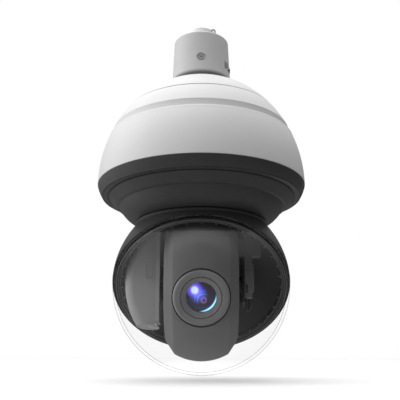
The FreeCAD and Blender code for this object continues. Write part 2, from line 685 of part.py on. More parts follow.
def make_hub():
    """The turning cup that carries the ball, the yoke and the pan gear."""
    flange_low = -(d.ball_drop - d.ball_top)
    flange_high = flange_low + d.hub_flange_thick
    shoulder_high = -(d.bearing_drop + d.bearing_half)
    shoulder_low = shoulder_high - d.hub_shoulder_thick
    roof_low = -(d.hub_roof_drop + d.hub_roof_thick)
    return turned("pan_hub", [
        (d.hub_inner, flange_low), (d.hub_flange, flange_low), (d.hub_flange, flange_high),
        (d.bearing_inner, flange_high), (d.bearing_inner, shoulder_low),
        (d.hub_shoulder, shoulder_low), (d.hub_shoulder, shoulder_high), (d.bearing_inner, shoulder_high),
        (d.bearing_inner, -d.hub_roof_drop), (d.hub_bore, -d.hub_roof_drop), (d.hub_bore, roof_low),
        (d.hub_inner, roof_low)])


def pan_centre():
    return (d.pan_gear_teeth + d.pan_pinion_teeth) * d.pan_module / 2


def make_pan_gears():
    teeth = int(d.pan_gear_teeth.value)
    pinion_teeth = int(d.pan_pinion_teeth.value)
    low = -d.hub_roof_drop.value
    ring = gear(teeth, d.pan_module.value, d.gear_thick.value, d.pan_gear_bore.value, 90)
    shape_part("pan_gear", ring, Placement(Vector(0, 0, low), Rotation()))
    thick = d.gear_thick.value - d.pinion_lift.value
    pinion = gear(pinion_teeth, d.pan_module.value, thick, 0, 90 + 180 / pinion_teeth)
    reach = -d.plate_drop.value - low - d.pinion_lift.value + d.shaft_reach.value
    shaft = Part.makeCylinder(d.shaft_radius.value, reach)
    place = Vector(0, pan_centre().value, low + d.pinion_lift.value)
    shape_part("pan_pinion", pinion.fuse(shaft), Placement(place, Rotation()))


def make_pan_motor():
    body = new_body("pan_motor")
    case = new_sketch(body, "XY_Plane", -d.plate_drop)
    draw_circle(case, 0, pan_centre(), d.motor_radius)
    extrude(body, case, d.motor_height)
    bore = new_sketch(body, "XY_Plane", -d.plate_drop)
    draw_circle(bore, 0, pan_centre(), d.shaft_radius + d.shaft_play)
    cut(body, bore, d.motor_bore, backwards=True)
    plug = new_sketch(body, "XY_Plane", -(d.plate_drop - d.motor_height))
    half = d.plug_width / 2
    draw(plug, rectangle(-half, half, pan_centre() + 4, pan_centre() + 4 + d.plug_depth))
    extrude(body, plug, d.plug_height)
    return body


def make_slip_ring():
    """Carries power and signals to the turning half: a stator in the column and a rotor on the hub."""
    low = -(d.plate_drop + d.plate_thick)
    bore = d.slip_radius + d.slip_play
    flange_low = low - d.slip_flange_thick
    turned("slip_ring_stator", [
        (bore, flange_low), (d.slip_flange, flange_low), (d.slip_flange, low), (d.slip_body, low),
        (d.slip_body, -d.slip_top), (bore, -d.slip_top)])
    foot_top = -(d.hub_roof_drop - d.slip_flange_thick)
    rotor_top = -(d.slip_top - 2)
    turned("slip_ring_rotor", [
        (d.slip_bore, -d.hub_roof_drop), (d.slip_foot, -d.hub_roof_drop), (d.slip_foot, foot_top),
        (d.slip_radius, foot_top), (d.slip_radius, rotor_top), (d.slip_bore, rotor_top)])


# ---------------------------------------------------------------- electronics under the covers

def make_board():
    low = -(d.board_top + d.board_thick)
    body = turned("main_board", tube(d.board_inner, d.board_outer, low, -d.board_top))
    notch = new_sketch(body, "XY_Plane", -d.board_top)
    draw(notch, rectangle(-d.board_notch, d.board_notch, d.board_inner - 3, d.board_outer - 28))
    cut(body, notch, 2 * d.board_thick)
    return body


def make_standoffs():
    body = new_body("board_standoffs")
    sketch = new_sketch(body, "XY_Plane", -d.plate_drop)
    draw_circle(sketch, d.standoff_place, d.standoff_place, d.standoff_radius)
    post = extrude(body, sketch, d.plate_drop - d.board_top - d.board_thick)
    repeat(body, [post], d.standoff_count)
    return body


def make_connectors():
    """The metal shells of the network jack and of the memory card slot, both open to the front."""
    body = plate("board_connectors", "XY_Plane", -d.board_top,
                 rectangle(-d.jack_half, d.jack_half, -d.jack_to, -d.jack_from), d.jack_height)
    card_left = d.card_right - d.card_half
    card_end = d.card_right + d.card_half
    card = new_sketch(body, "XY_Plane", -d.board_top)
    draw(card, rectangle(card_left, card_end, -d.card_to, -d.card_from))
    extrude(body, card, d.card_height)
    low = d.jack_wall - d.board_top
    jack = new_sketch(body, "XZ_Plane", d.jack_to + 1)
    draw(jack, rectangle(d.jack_wall - d.jack_half, d.jack_half - d.jack_wall, low, low + d.jack_height - 5))
    cut(body, jack, d.jack_depth + 1)
    slot = new_sketch(body, "XZ_Plane", d.card_to + 1)
    draw(slot, rectangle(card_left + 2, card_end - 2, d.card_wall - d.board_top,
                         d.card_height - d.card_wall - d.board_top))
    cut(body, slot, d.card_to - d.card_from - 2)
    return body


def make_buttons():
    """Two push switches on the board, each a housing with a plunger that travels down."""
    places = {"power_button": d.power_place, "reset_button": d.reset_place}
    half = d.button_half
    housings = new_body("button_housings")
    for across in places.values():
        base = new_sketch(housings, "XY_Plane", -d.board_top)
        draw(base, rectangle(across - half, across + half, -(d.button_front + half),
                             -(d.button_front - half)))
        extrude(housings, base, half)
    floor = -(d.board_top - d.button_floor)
    for across in places.values():
        bore = new_sketch(housings, "XY_Plane", floor)
        draw_circle(bore, across, -d.button_front, d.button_bore)
        cut(housings, bore, 2 * half, backwards=True)
    for label, across in places.items():
        plunger = new_body(label)
        sketch = new_sketch(plunger, "XY_Plane", floor + d.button_travel)
        draw_circle(sketch, across, -d.button_front, d.button_radius)
        extrude(plunger, sketch, d.button_length)


def make_fan():
    """An internal fan: a square frame with a hub on struts, and a rotor with slanted blades."""
    floor = -d.plate_drop
    half = d.fan_half
    frame = plate("fan_frame", "XY_Plane", floor,
                  rectangle(-half, half, -(d.fan_front + half), -(d.fan_front - half)), d.fan_height)
    duct = new_sketch(frame, "XY_Plane", floor)
    draw_circle(duct, 0, -d.fan_front, d.fan_duct)
    cut(frame, duct, d.fan_height + 1, backwards=True)
    reach = d.fan_duct + 1
    strut = d.fan_strut
    for outline in (rectangle(-reach, reach, -(d.fan_front + strut), -(d.fan_front - strut)),
                    rectangle(-strut, strut, -(d.fan_front + reach), -(d.fan_front - reach))):
        sketch = new_sketch(frame, "XY_Plane", floor)
        draw(sketch, outline)
        extrude(frame, sketch, d.fan_strut_thick)
    for radius, height in ((d.fan_post, d.fan_post_height), (d.fan_pin, d.fan_pin_height)):
        sketch = new_sketch(frame, "XY_Plane", floor)
        draw_circle(sketch, 0, -d.fan_front, radius)
        extrude(frame, sketch, height)
    make_fan_rotor(floor.value + d.fan_lift.value)


def make_fan_rotor(low):
    centre = Vector(0, -d.fan_front.value, low)
    height = d.fan_blade_height.value
    thick = d.fan_blade_thick.value
    hub = d.fan_hub.value
    count = int(d.fan_blades.value)
    blades = []
    for i in range(count):
        length = d.fan_tip.value - hub + 1
        blade = Part.makeBox(length, thick, height - 1, Vector(hub - 1, -thick / 2, 0.5))
        blade.rotate(Vector(0, 0, height / 2), Vector(1, 0, 0), d.fan_pitch.value)
        blade.rotate(Vector(0, 0, 0), Vector(0, 0, 1), 360 * i / count)
        blade.translate(centre)
        blades.append(blade)
    rotor = Part.makeCylinder(hub, height, centre).multiFuse(blades)
    rotor = rotor.common(Part.makeCylinder(d.fan_tip.value, height, centre))
    bore = Part.makeCylinder(d.fan_pin.value + d.fan_play.value, height * 0.7, centre)
    shape_part("fan_rotor", rotor.cut(bore))


def make_heater():
    """A finned heater block that keeps the housing dry."""
    body = plate("heater_block", "XY_Plane", -d.plate_drop,
                 rectangle(d.heater_left, d.heater_right, -d.heater_half, d.heater_half), d.heater_base)
    for i in range(int(d.heater_fins.value)):
        start = d.heater_left + 1 + d.heater_fin_pitch * i
        fin = new_sketch(body, "XY_Plane", -(d.plate_drop - d.heater_base))
        draw(fin, rectangle(start, start + d.heater_fin_thick, 1 - d.heater_half, d.heater_half - 1))
        extrude(body, fin, d.heater_fin_height)
    return body


# ---------------------------------------------------------------- ball, window and ring

def make_collar():
    """The narrow ring on top of the ball that shows below the skirt."""
    low = -(d.ball_drop - d.ball_top)
    rim = leg(d.ball_radius, d.ball_top)
    return turned("collar_ring", [
        (d.hub_flange, low), (rim, low), (d.collar_radius, low + d.collar_bevel),
        (d.collar_radius - d.collar_draft, -d.collar_top), (d.hub_flange, -d.collar_top)])


def make_ball_shell():
    inner = d.ball_radius - d.ball_wall
    top = -(d.ball_drop - d.ball_top)
    body = turned("ball_shell", [
        (leg(d.ball_radius, d.ball_top), top, -d.ball_radius),
        (0, -(d.ball_drop + d.ball_radius)),
        (0, -(d.ball_drop + inner), inner),
        (leg(inner, d.ball_top), top)])
    out_y, out_z = -cosine(d.window_tilt), -sine(d.window_tilt)
    start = d.window_offset - d.seal_thick
    far = 2 * d.ball_radius
    corners = []
    for along, out in ((far, start), (-far, start), (-far, far), (far, far)):
        corners.append((out * out_y - along * out_z, out * out_z + along * out_y - d.ball_drop))
    opening = new_sketch(body, "YZ_Plane")
    draw(opening, corners)
    cut(body, opening, None, midplane=True)
    return body


def window_turn():
    return d.window_tilt + 90


def make_window():
    """The clear half ball, its seal, and the bezel ring with small ticks inside it."""
    inner = d.clear_radius - d.clear_wall
    rim = d.window_offset
    turned("dome_window", [
        (leg(inner, rim), rim), (leg(d.clear_radius, rim), rim, d.clear_radius),
        (0, d.clear_radius), (0, inner, -inner)], -d.ball_drop, window_turn())
    turned("dome_seal", tube(inner + 0.8, d.clear_radius - 0.1, rim - d.seal_thick, rim),
           -d.ball_drop, window_turn())
    body = new_body("window_ring", -d.ball_drop, window_turn())
    revolve(body, [
        (d.ring_inner, -d.ring_low), (d.ring_outer, -d.ring_low), (d.ring_outer, d.ring_step),
        (d.ring_outer - 0.9, d.ring_crest, d.ring_round), (d.ring_bead, d.ring_crest),
        (d.ring_bead - d.ring_lip, d.ring_step), (d.ring_inner, d.ring_step)])
    tick = new_sketch(body, "XY_Plane", d.tick_low)
    half = d.tick_width / 2
    draw(tick, rectangle(-half, half, -(d.ring_inner + 1), -(d.ring_inner - d.tick_length)))
    tick_pad = extrude(body, tick, d.tick_height)
    repeat(body, [tick_pad], d.tick_count)


# ---------------------------------------------------------------- yoke and tilt drive

def make_yoke():
    """A ring under the hub with an arm on each side, and three pads that the arm board sits on."""
    top = -(d.ball_drop - d.ball_top)
    side = leg(d.yoke_round, d.yoke_gap)
    body = new_body("yoke_frame")
    disc = new_sketch(body, "XY_Plane", top - d.yoke_thick)
    draw_circle(disc, 0, 0, d.hub_flange)
    extrude(body, disc, d.yoke_thick)
    opening = new_sketch(body, "XY_Plane", top)
    draw(opening, [(d.yoke_gap, -side), (d.yoke_gap, side, d.yoke_round), (-d.yoke_gap, side),
                   (-d.yoke_gap, -side, d.yoke_round)])
    cut(body, opening, d.yoke_thick + 1)
    left = new_sketch(body, "YZ_Plane", -(d.yoke_half + d.yoke_thick))
    draw(left, [(-d.yoke_front, -d.left_arm_low), (d.left_toe, -d.left_arm_low),
                (d.yoke_back, -(d.ball_drop + d.left_knee)), (d.yoke_back, top), (-d.yoke_front, top)])
    extrude(body, left, d.yoke_thick)
    right = new_sketch(body, "YZ_Plane", d.yoke_half)
    draw(right, [(-d.right_front, -d.right_arm_low), (d.right_toe, -d.right_arm_low),
                 (d.yoke_back, -(d.ball_drop + d.right_knee)), (d.yoke_back, top), (-d.right_front, top)])
    extrude(body, right, d.yoke_thick)
    pad_high = -(d.arm_board_high + 6)
    for across, up in ((6, pad_high), (24, pad_high), (6, pad_high - 50)):
        pad = new_sketch(body, "YZ_Plane", d.yoke_half + d.yoke_thick)
        draw_circle(pad, across, up, d.pad_radius)
        extrude(body, pad, d.pad_height)
    bores = new_sketch(body, "YZ_Plane")
    draw_circle(bores, 0, -d.ball_drop, d.tilt_bearing)
    cut(body, bores, None, midplane=True)
    shaft = new_sketch(body, "YZ_Plane")
    draw_circle(shaft, tilt_offset(), tilt_offset() - d.ball_drop, d.pinion_shaft + d.shaft_play)
    cut(body, shaft, d.yoke_half + 2 * d.yoke_thick)
    return body


def tilt_offset():
    """Height and depth of the tilt pinion above and behind the tilt axis."""
    centres = (d.tilt_gear_teeth + d.tilt_pinion_teeth) * d.tilt_module / 2
    return centres * cosine(45)


def make_yoke_screws():
    low = -(d.ball_drop - d.ball_top) - d.yoke_thick
    body = new_body("yoke_screws")
    head = new_sketch(body, "XY_Plane", low)
    draw_circle(head, d.yoke_screw_circle, 0, d.yoke_screw_head)
    head_pad = extrude(body, head, d.yoke_screw_height, backwards=True)
    socket = new_sketch(body, "XY_Plane", low - 1)
    draw_circle(socket, d.yoke_screw_circle, 0, d.yoke_screw_socket)
    socket_cut = cut(body, socket, d.yoke_screw_height)
    repeat(body, [head_pad, socket_cut], d.screw_count)
    return body


def make_tilt_bearings():
    body = new_body("tilt_bearings")
    for offset in (-(d.yoke_half + d.yoke_thick), d.yoke_half):
        sketch = new_sketch(body, "YZ_Plane", offset)
        draw_circle(sketch, 0, -d.ball_drop, d.tilt_bearing)
        extrude(body, sketch, d.yoke_thick)
    bore = new_sketch(body, "YZ_Plane")
    draw_circle(bore, 0, -d.ball_drop, d.tilt_shaft + d.tilt_play)
    cut(body, bore, None, midplane=True)
    return body


def make_tilt_drive():
    """A wheel on the left shaft, a pinion above and behind it, and the motor outside the left arm."""
    turn = Rotation(Vector(0, 1, 0), 90)
    centre = -d.ball_drop.value
    thick = d.tilt_gear_thick.value
    gear_low = -(d.yoke_half.value - d.tilt_gear_gap.value)
    teeth = int(d.tilt_gear_teeth.value)
    small = int(d.tilt_pinion_teeth.value)
    module = d.tilt_module.value
    wheel = gear(teeth, module, thick, d.tilt_shaft.value, 135)
    shape_part("tilt_gear", wheel, Placement(Vector(gear_low, 0, centre), turn))
    back = d.yoke_thick.value + d.pinion_reach.value
    shaft = Part.makeCylinder(d.pinion_shaft.value, back + thick, Vector(0, 0, -back))
    pinion = gear(small, module, thick, 0, 135 + 180 / small).fuse(shaft)
    offset = tilt_offset().value
    shape_part("tilt_pinion", pinion, Placement(Vector(gear_low, offset, centre + offset), turn))

    body = new_body("tilt_motor")
    outside = -(d.yoke_half + d.yoke_thick)
    case = new_sketch(body, "YZ_Plane", outside)
    draw_circle(case, tilt_offset(), tilt_offset() - d.ball_drop, d.tilt_motor_radius)
    extrude(body, case, d.tilt_motor_length, backwards=True)
    bore = new_sketch(body, "YZ_Plane", outside)
    draw_circle(bore, tilt_offset(), tilt_offset() - d.ball_drop, d.pinion_shaft + d.shaft_play)
    cut(body, bore, d.tilt_motor_bore)


def make_left_cover():
    """The rounded cheek over the tilt motor: part of a sphere with a flat base and a soft front edge,
    and a shallow slot in its front face with a tab in it."""
    plane = -(d.yoke_half + d.yoke_thick).value
    front = -d.yoke_front.value
    outer = cheek_solid(0, plane)
    front_edges = [e for e in outer.Edges if e.Curve.TypeId == "Part::GeomCircle"
                   and abs(e.CenterOfMass.y - front) < 0.5]
    outer = outer.makeFillet(d.cheek_round.value, front_edges)
    shell = outer.cut(cheek_solid(d.cheek_wall.value, plane + 1))
    slot_corner = Vector(plane - d.cheek_slot_left.value, front - 0.2, -d.cheek_slot_low.value)
    slot = Part.makeBox(d.cheek_slot_width.value, d.cheek_slot_depth.value + 0.2, d.cheek_slot_height.value,
                        slot_corner)
    tab_corner = Vector(plane - d.cheek_tab_left.value, front - 0.2, -d.cheek_tab_low.value)
    tab = Part.makeBox(d.cheek_tab_width.value, d.cheek_tab_depth.value + 0.2, d.cheek_tab_height.value,
                       tab_corner)
    return shape_part("left_arm_cover", shell.cut(slot).fuse(tab))


def cheek_solid(inset, plane):
    centre = Vector(0, 0, -d.ball_drop.value)
    ball = Part.makeSphere(d.cheek_radius.value - inset, centre)
    front = -d.yoke_front.value + inset
    back = d.cheek_back.value - inset
    low = centre.z - d.cheek_low.value + inset
    high = centre.z + d.cheek_high.value - inset
    reach = d.cheek_radius.value
    return ball.common(Part.makeBox(reach, back - front, high - low, Vector(plane - reach, front, low)))


def make_cable_hook():
    """A small wire hook at the foot of the left arm."""
    plane = -(d.yoke_half + d.yoke_thick).value
    front = -d.yoke_front.value - d.hook_out.value
    wire = d.hook_wire.value
    foot = -(d.ball_drop.value + d.cheek_low.value) - 2 * wire
    tip = Vector(plane - d.hook_left.value, front, foot - 0.6)
    elbow = Vector(plane + d.hook_right.value, front, foot - 1.4)
    top = Vector(plane + 1, front, foot + d.hook_rise.value)
    rods = [Part.makeSphere(wire, top)]
    for start, end in ((tip, elbow), (elbow, top)):
        rods.append(Part.makeCylinder(wire, (end - start).Length, start, end - start))
        rods.append(Part.makeSphere(wire, start))
    return shape_part("cable_hook", rods[0].multiFuse(rods[1:]))


def make_right_bracket():
    """The T-shaped bracket in front of the right arm, in one casting with its foot."""
    body = new_body("right_arm_bracket")
    blocks = (rectangle(d.cross_left, d.cross_right, -d.cross_low, -d.cross_high),
              rectangle(d.bar_left, d.bar_right, -d.bar_low, -d.cross_low + 5),
              rectangle(d.bar_right, d.bar_right + d.rib_width, -d.rib_low, -d.rib_high),
              rectangle(d.bar_left, d.bar_right, -d.cross_low + 5, -d.bar_high))
    for block in blocks:
        sketch = new_sketch(body, "XZ_Plane", d.right_front)
        draw(sketch, block)
        extrude(body, sketch, d.bracket_depth)
    face = d.right_front + d.bracket_depth
    groove = new_sketch(body, "XZ_Plane", face)
    draw(groove, rectangle(d.bar_left - 1, d.bar_right + 1, -(d.groove_at + d.groove_half),
                           -(d.groove_at - d.groove_half)))
    cut(body, groove, d.groove_depth)
    step = new_sketch(body, "XZ_Plane", face)
    draw(step, rectangle(d.bar_left - 0.5, d.step_right, -d.step_low, -d.step_high))
    cut(body, step, d.step_depth)
    return body


def make_stop_rod():
    """The thin rod with a ball tip below the bracket."""
    tip = Vector(d.rod_right.value, -d.rod_front.value, -(d.bar_low + d.rod_length).value)
    rod = Part.makeCylinder(d.rod_radius.value, d.rod_length.value, tip)
    return shape_part("tilt_stop_rod", rod.fuse(Part.makeSphere(d.rod_tip.value, tip)))


def make_arm_board():
    middle = -(d.arm_board_low + d.arm_board_high) / 2
    body = plate("arm_board", "YZ_Plane", d.arm_board_right,
                 rectangle(0, d.arm_board_back, -d.arm_board_low, -d.arm_board_high), d.board_thick)
    chip = new_sketch(body, "YZ_Plane", d.arm_board_right + d.board_thick)
    draw(chip, rectangle(8, 22, middle - 12, middle + 2))
    extrude(body, chip, d.chip_rise)
    return body


# ---------------------------------------------------------------- tilting head
# The head is drawn in its own frame: X is the tilt axis, Z is the lens axis.

def head_turn():
    return d.lens_angle + 90


def head_profile(inset):
    """Half of the head's section, from the left shaft hole over the crown to the right one."""
    half = d.head_half - inset
    drum = d.head_drum - inset * 0.8
    corner = d.head_round - inset * 0.5
    rise = corner * 0.8
    side = d.chamfer_half - inset * 0.4
    crown = d.chamfer_radius - inset
    return half, drum, corner, rise, side, crown


def make_head_shell(label, sweep, turn):
    outer = head_profile(Size(0, "0"))
    inner = head_profile(d.head_wall)
    body = new_body(label, -d.ball_drop, turn)
    corners = [(-outer[0], d.tilt_shaft), (-inner[0], d.tilt_shaft)]
    corners += crown_points(inner, -(d.crown_arc - d.head_wall), outward=True)
    corners += [(inner[0], d.tilt_shaft), (outer[0], d.tilt_shaft)]
    corners += crown_points(outer, d.crown_arc, outward=False)
    revolve(body, corners, "H_Axis", sweep)
    return body


def crown_points(profile, arc, outward):
    half, drum, corner, rise, side, crown = profile
    left = [(-half, drum - rise), (-(half - corner * 0.45), drum + rise * 0.45), (-side, crown)]
    right = [(side, crown), (half - corner * 0.45, drum + rise * 0.45), (half, drum - rise)]
    if outward:
        return [left[0] + (-(corner * 1.6),), left[1], left[2] + (arc,), right[0],
                right[1] + (-(corner * 1.6),), right[2]]
    return [right[2] + (corner * 1.6,), right[1], right[0] + (arc,), left[2],
            left[1] + (corner * 1.6,), left[0]]


def make_head_front():
    body = make_head_shell("head_front_shell", d.front_sweep, head_turn())
    hole = new_sketch(body, "XY_Plane", 20)
    draw_circle(hole, 0, 0, d.boss_hole)
    cut(body, hole, 90, backwards=True)
    return body


def make_head_rear():
    rest = 360 - d.front_sweep - d.shell_gap
    return make_head_shell("head_rear_shell", rest, head_turn() - 180)


def make_tilt_shafts():
    """One short shaft on each side of the head, each with a collar inside the shell."""
    body = new_body("tilt_shafts", -d.ball_drop, head_turn())
    length = d.yoke_half + d.yoke_thick - d.head_half + d.head_wall + d.tilt_overhang
    for start, backwards in ((d.head_half - d.head_wall, False), (-(d.head_half - d.head_wall), True)):
        sketch = new_sketch(body, "YZ_Plane", start)
        draw_circle(sketch, 0, 0, d.tilt_shaft)
        extrude(body, sketch, length, backwards)
        collar = new_sketch(body, "YZ_Plane", start)
        draw_circle(collar, 0, 0, d.tilt_collar)
        extrude(body, collar, d.tilt_collar_thick, not backwards)
    return body


def head_turned(label, corners):
    return turned(label, corners, -d.ball_drop, head_turn())


def make_lens_front():
    """The raised bezel, the ring inside it, and the front lens element."""
    low = d.bezel_face - d.bezel_depth
    rounding = d.bezel_round
    head_turned("lens_bezel", [
        (d.bezel_inner, low), (d.bezel_radius, low), (d.bezel_radius, d.bezel_face - rounding, rounding),
        (d.bezel_radius - rounding, d.bezel_face), (d.bezel_inner + 0.8, d.bezel_face - 0.4),
        (d.bezel_inner, d.bezel_face - 1.2)])
    ring_outer = d.bezel_inner - 0.3
    head_turned("lens_ring", [
        (d.lens_ring_inner, low), (ring_outer, low), (ring_outer, d.bezel_face - 1.6),
        (ring_outer - 0.9, d.bezel_face - 0.8), (d.lens_ring_inner + 0.6, d.lens_face),
        (d.lens_ring_inner, d.lens_face - 0.8)])
    head_turned("front_element", [
        (0, d.lens_edge - 3.4), (d.lens_radius, d.lens_edge - 3), (d.lens_radius, d.lens_edge, d.lens_arc),
        (0, d.lens_edge + d.lens_arc - leg(d.lens_arc, d.lens_radius))])


def make_lens_inside():
    """The lens barrel with the zoom and focus groups that slide in it."""
    inner = d.barrel_radius - d.barrel_wall
    top = d.bezel_face - d.bezel_depth
    flange = d.barrel_radius + d.barrel_flange
    flange_top = 4 - d.barrel_back
    head_turned("lens_barrel", [
        (inner, -d.barrel_back), (flange, -d.barrel_back), (flange, flange_top),
        (d.barrel_radius, flange_top), (d.barrel_radius, top), (inner, top)])
    rim = inner - d.group_play
    glass = d.group_glass
    for label, low in (("zoom_group", d.zoom_place), ("focus_group", d.focus_place)):
        head_turned(label, [
            (0, low + 1.5), (glass, low + 3), (glass, low), (rim, low), (rim, low + d.group_length),
            (glass, low + d.group_length), (glass, low + 5, d.group_arc),
            (0, low + 5 + d.group_arc - leg(d.group_arc, glass))])


def make_sensor():
    """The image sensor on its board, and a finned heat sink behind it."""
    board = new_body("sensor_board", -d.ball_drop, head_turn())
    sketch = new_sketch(board, "XY_Plane", -d.sensor_back)
    draw(sketch, rectangle(-d.sensor_half, d.sensor_half, -d.sensor_height, d.sensor_height))
    extrude(board, sketch, d.sensor_thick)
    chip = new_sketch(board, "XY_Plane", d.sensor_thick - d.sensor_back)
    draw(chip, rectangle(-d.chip_half, d.chip_half, -5, 5))
    extrude(board, chip, 2)
    sink = new_body("sensor_heatsink", -d.ball_drop, head_turn())
    back = -(d.sensor_back + d.sink_thick)
    base = new_sketch(sink, "XY_Plane", back)
    draw(base, rectangle(-d.sink_half, d.sink_half, -d.sink_height, d.sink_height))
    extrude(sink, base, d.sink_thick)
    for i in range(int(d.fin_count.value)):
        start = 1 - d.sink_half + d.fin_pitch * i
        fin = new_sketch(sink, "XY_Plane", back)
        draw(fin, rectangle(start, start + d.fin_thick, -d.sink_height, d.sink_height))
        extrude(sink, fin, d.fin_length, backwards=True)


# ---------------------------------------------------------------- build, check, export

make_stub()
make_adapter()
make_lock_screw()
make_eyelet()
make_spigot()
make_lock_ring()
make_top_cap()
make_upper_cover()
make_sun_shield()
make_cover_gasket()
make_base_housing()
make_neck_flare()
make_chassis()
make_column()
make_chassis_screws()
bearing_ring("pan_bearing_outer", d.seat_radius, d.ball_circle + d.race_gap, 1)
bearing_ring("pan_bearing_inner", d.bearing_inner, d.ball_circle - d.race_gap, -1)
make_bearing_balls()
make_hub()
make_pan_gears()
make_pan_motor()
make_slip_ring()
make_board()
make_standoffs()
make_connectors()
make_buttons()
make_fan()
make_heater()
make_collar()
make_ball_shell()
make_window()
make_yoke()
make_yoke_screws()
make_tilt_bearings()
make_tilt_drive()
make_left_cover()
make_cable_hook()
make_right_bracket()
make_stop_rod()
make_arm_board()
make_head_front()
make_head_rear()
make_tilt_shafts()
make_lens_front()
make_lens_inside()
make_sensor()
doc.recompute()

faults = []
for item in doc.Objects:
    if "Invalid" in item.State or "Error" in item.State:
        faults.append("%s: %s" % (item.Label, item.State))
for feature in cuts:
    if feature.BaseFeature and feature.Shape.Volume > feature.BaseFeature.Shape.Volume - 1e-3:
        faults.append("%s cuts nothing" % feature.Label)
for part in parts:
    if part.Shape.isNull() or not part.Shape.isValid() or not part.Shape.Solids:
        faults.append("%s has no valid solid" % part.Label)
if faults:
    raise SystemExit("\n".join(faults))

os.makedirs("parts", exist_ok=True)
for part in parts:
    part.Shape.exportStep("parts/%s.step" % part.Label)
print("%d parts, %.0f cm3" % (len(parts), sum(part.Shape.Volume for part in parts) / 1000))
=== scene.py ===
import json
import math

import bmesh
import bpy
from mathutils import Matrix, Vector


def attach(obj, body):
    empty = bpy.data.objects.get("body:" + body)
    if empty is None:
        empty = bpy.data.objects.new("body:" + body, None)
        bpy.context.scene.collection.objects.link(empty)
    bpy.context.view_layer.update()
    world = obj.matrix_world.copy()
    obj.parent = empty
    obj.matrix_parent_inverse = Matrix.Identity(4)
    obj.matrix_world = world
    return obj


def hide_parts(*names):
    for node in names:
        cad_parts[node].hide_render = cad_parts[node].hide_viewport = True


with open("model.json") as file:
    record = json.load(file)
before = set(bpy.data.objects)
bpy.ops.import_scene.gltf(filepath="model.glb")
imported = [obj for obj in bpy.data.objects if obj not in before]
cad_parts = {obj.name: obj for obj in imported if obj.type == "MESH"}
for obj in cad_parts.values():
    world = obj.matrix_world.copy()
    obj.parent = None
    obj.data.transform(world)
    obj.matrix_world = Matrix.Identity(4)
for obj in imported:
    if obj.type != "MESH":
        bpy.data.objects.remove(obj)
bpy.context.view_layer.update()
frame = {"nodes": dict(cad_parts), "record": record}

NODES = frame["nodes"]
MM = 0.001
BALL_DROP = 293          # the tilt axis below the origin, in mm
LENS_TURN = 109.5        # the lens axis turned about X, from straight up, in degrees
WINDOW_TURN = 140.5      # the same for the window's axis
RING_RIDGES = (89.3, 91.2)           # radii of the window ring's two ridges, in mm
# ticks inside the window ring, in mm: width, depth and height, then distance from the axis and base level
TICK_COUNT, TICK_SIZE, TICK_RADIUS, TICK_BASE = 36, (1.6, 2.8, 3.2), 84.2, 1

# painted glows and painted reflections on the front element, given off as light; places are in mm to the
# right of the lens axis and above it
PAINTED_LENS_SPOTS = {        # place, radius of full strength, radius where it ends, colour, strength
    "bloom": ((-7.2, 7.4), 3.2, 9.5, (0.16, 0.08, 1.0), 0.62),
    "haze": ((-3.0, 2.5), 1.0, 10.5, (0.05, 0.08, 0.50), 0.75),
    "spark": ((-6.5, 6.6), 2.6, 4.6, (0.49, 0.80, 0.12), 0.50)}
RINGS_PLACE = (2.4, -3.2)
PAINTED_LENS_RINGS = (        # radius, width, colour, strength, whether it fades with the haze
    (2.5, 0.9, (0.55, 0.22, 0.62), 0.28, False),
    (6.3, 0.9, (0.10, 0.35, 1.00), 0.55, True),
    (9.0, 1.1, (0.20, 0.12, 1.00), 0.50, True))
# the crescent is a painted reflection, given off as light
CRESCENT_PLACE, CRESCENT_FROM, CRESCENT_FULL = (-3.8, 3.7), 18.0, 19.3
CRESCENT_TONES = [(0.0, (0.01, 0.08, 0.45)), (0.8, (0.10, 0.50, 0.95)), (1.0, (0.40, 0.85, 0.95))]
CRESCENT_STRENGTH = 0.9
# an even painted glow over the whole element
EVEN_HAZE, EVEN_HAZE_STRENGTH = (0.90, 0.90, 1.00), 0.018

# where one node's finish, painted highlight or painted shadow changes, in mm
BALL_INSIDE, BALL_OUTSIDE = 94.2, 95.2      # distance from the ball's centre
# X where the painted highlight on the yoke's left arm is full, and where it ends
ARM_HIGHLIGHT_FULL, ARM_HIGHLIGHT_END = -40, -38               # X
# half widths of the painted highlight along each window-ring ridge: full, then where it ends
RIDGE_HALF, RIDGE_END = 0.3, 0.8            # beside a ridge of the window ring
TICK_END, RING_START = 85.8, 86.2           # from the window's axis
# the neck's painted shadow: full at the first height, gone at the second
NECK_SHADOW_FOOT, NECK_SHADOW_END = -55.0, -49.0       # Z
LEVER_OUT, LEVER_ABOVE, LEVER_BLEND = 26.4, -39.1, 0.2      # X, Z and the blend's width


# ---------------------------------------------------------------- shader helpers

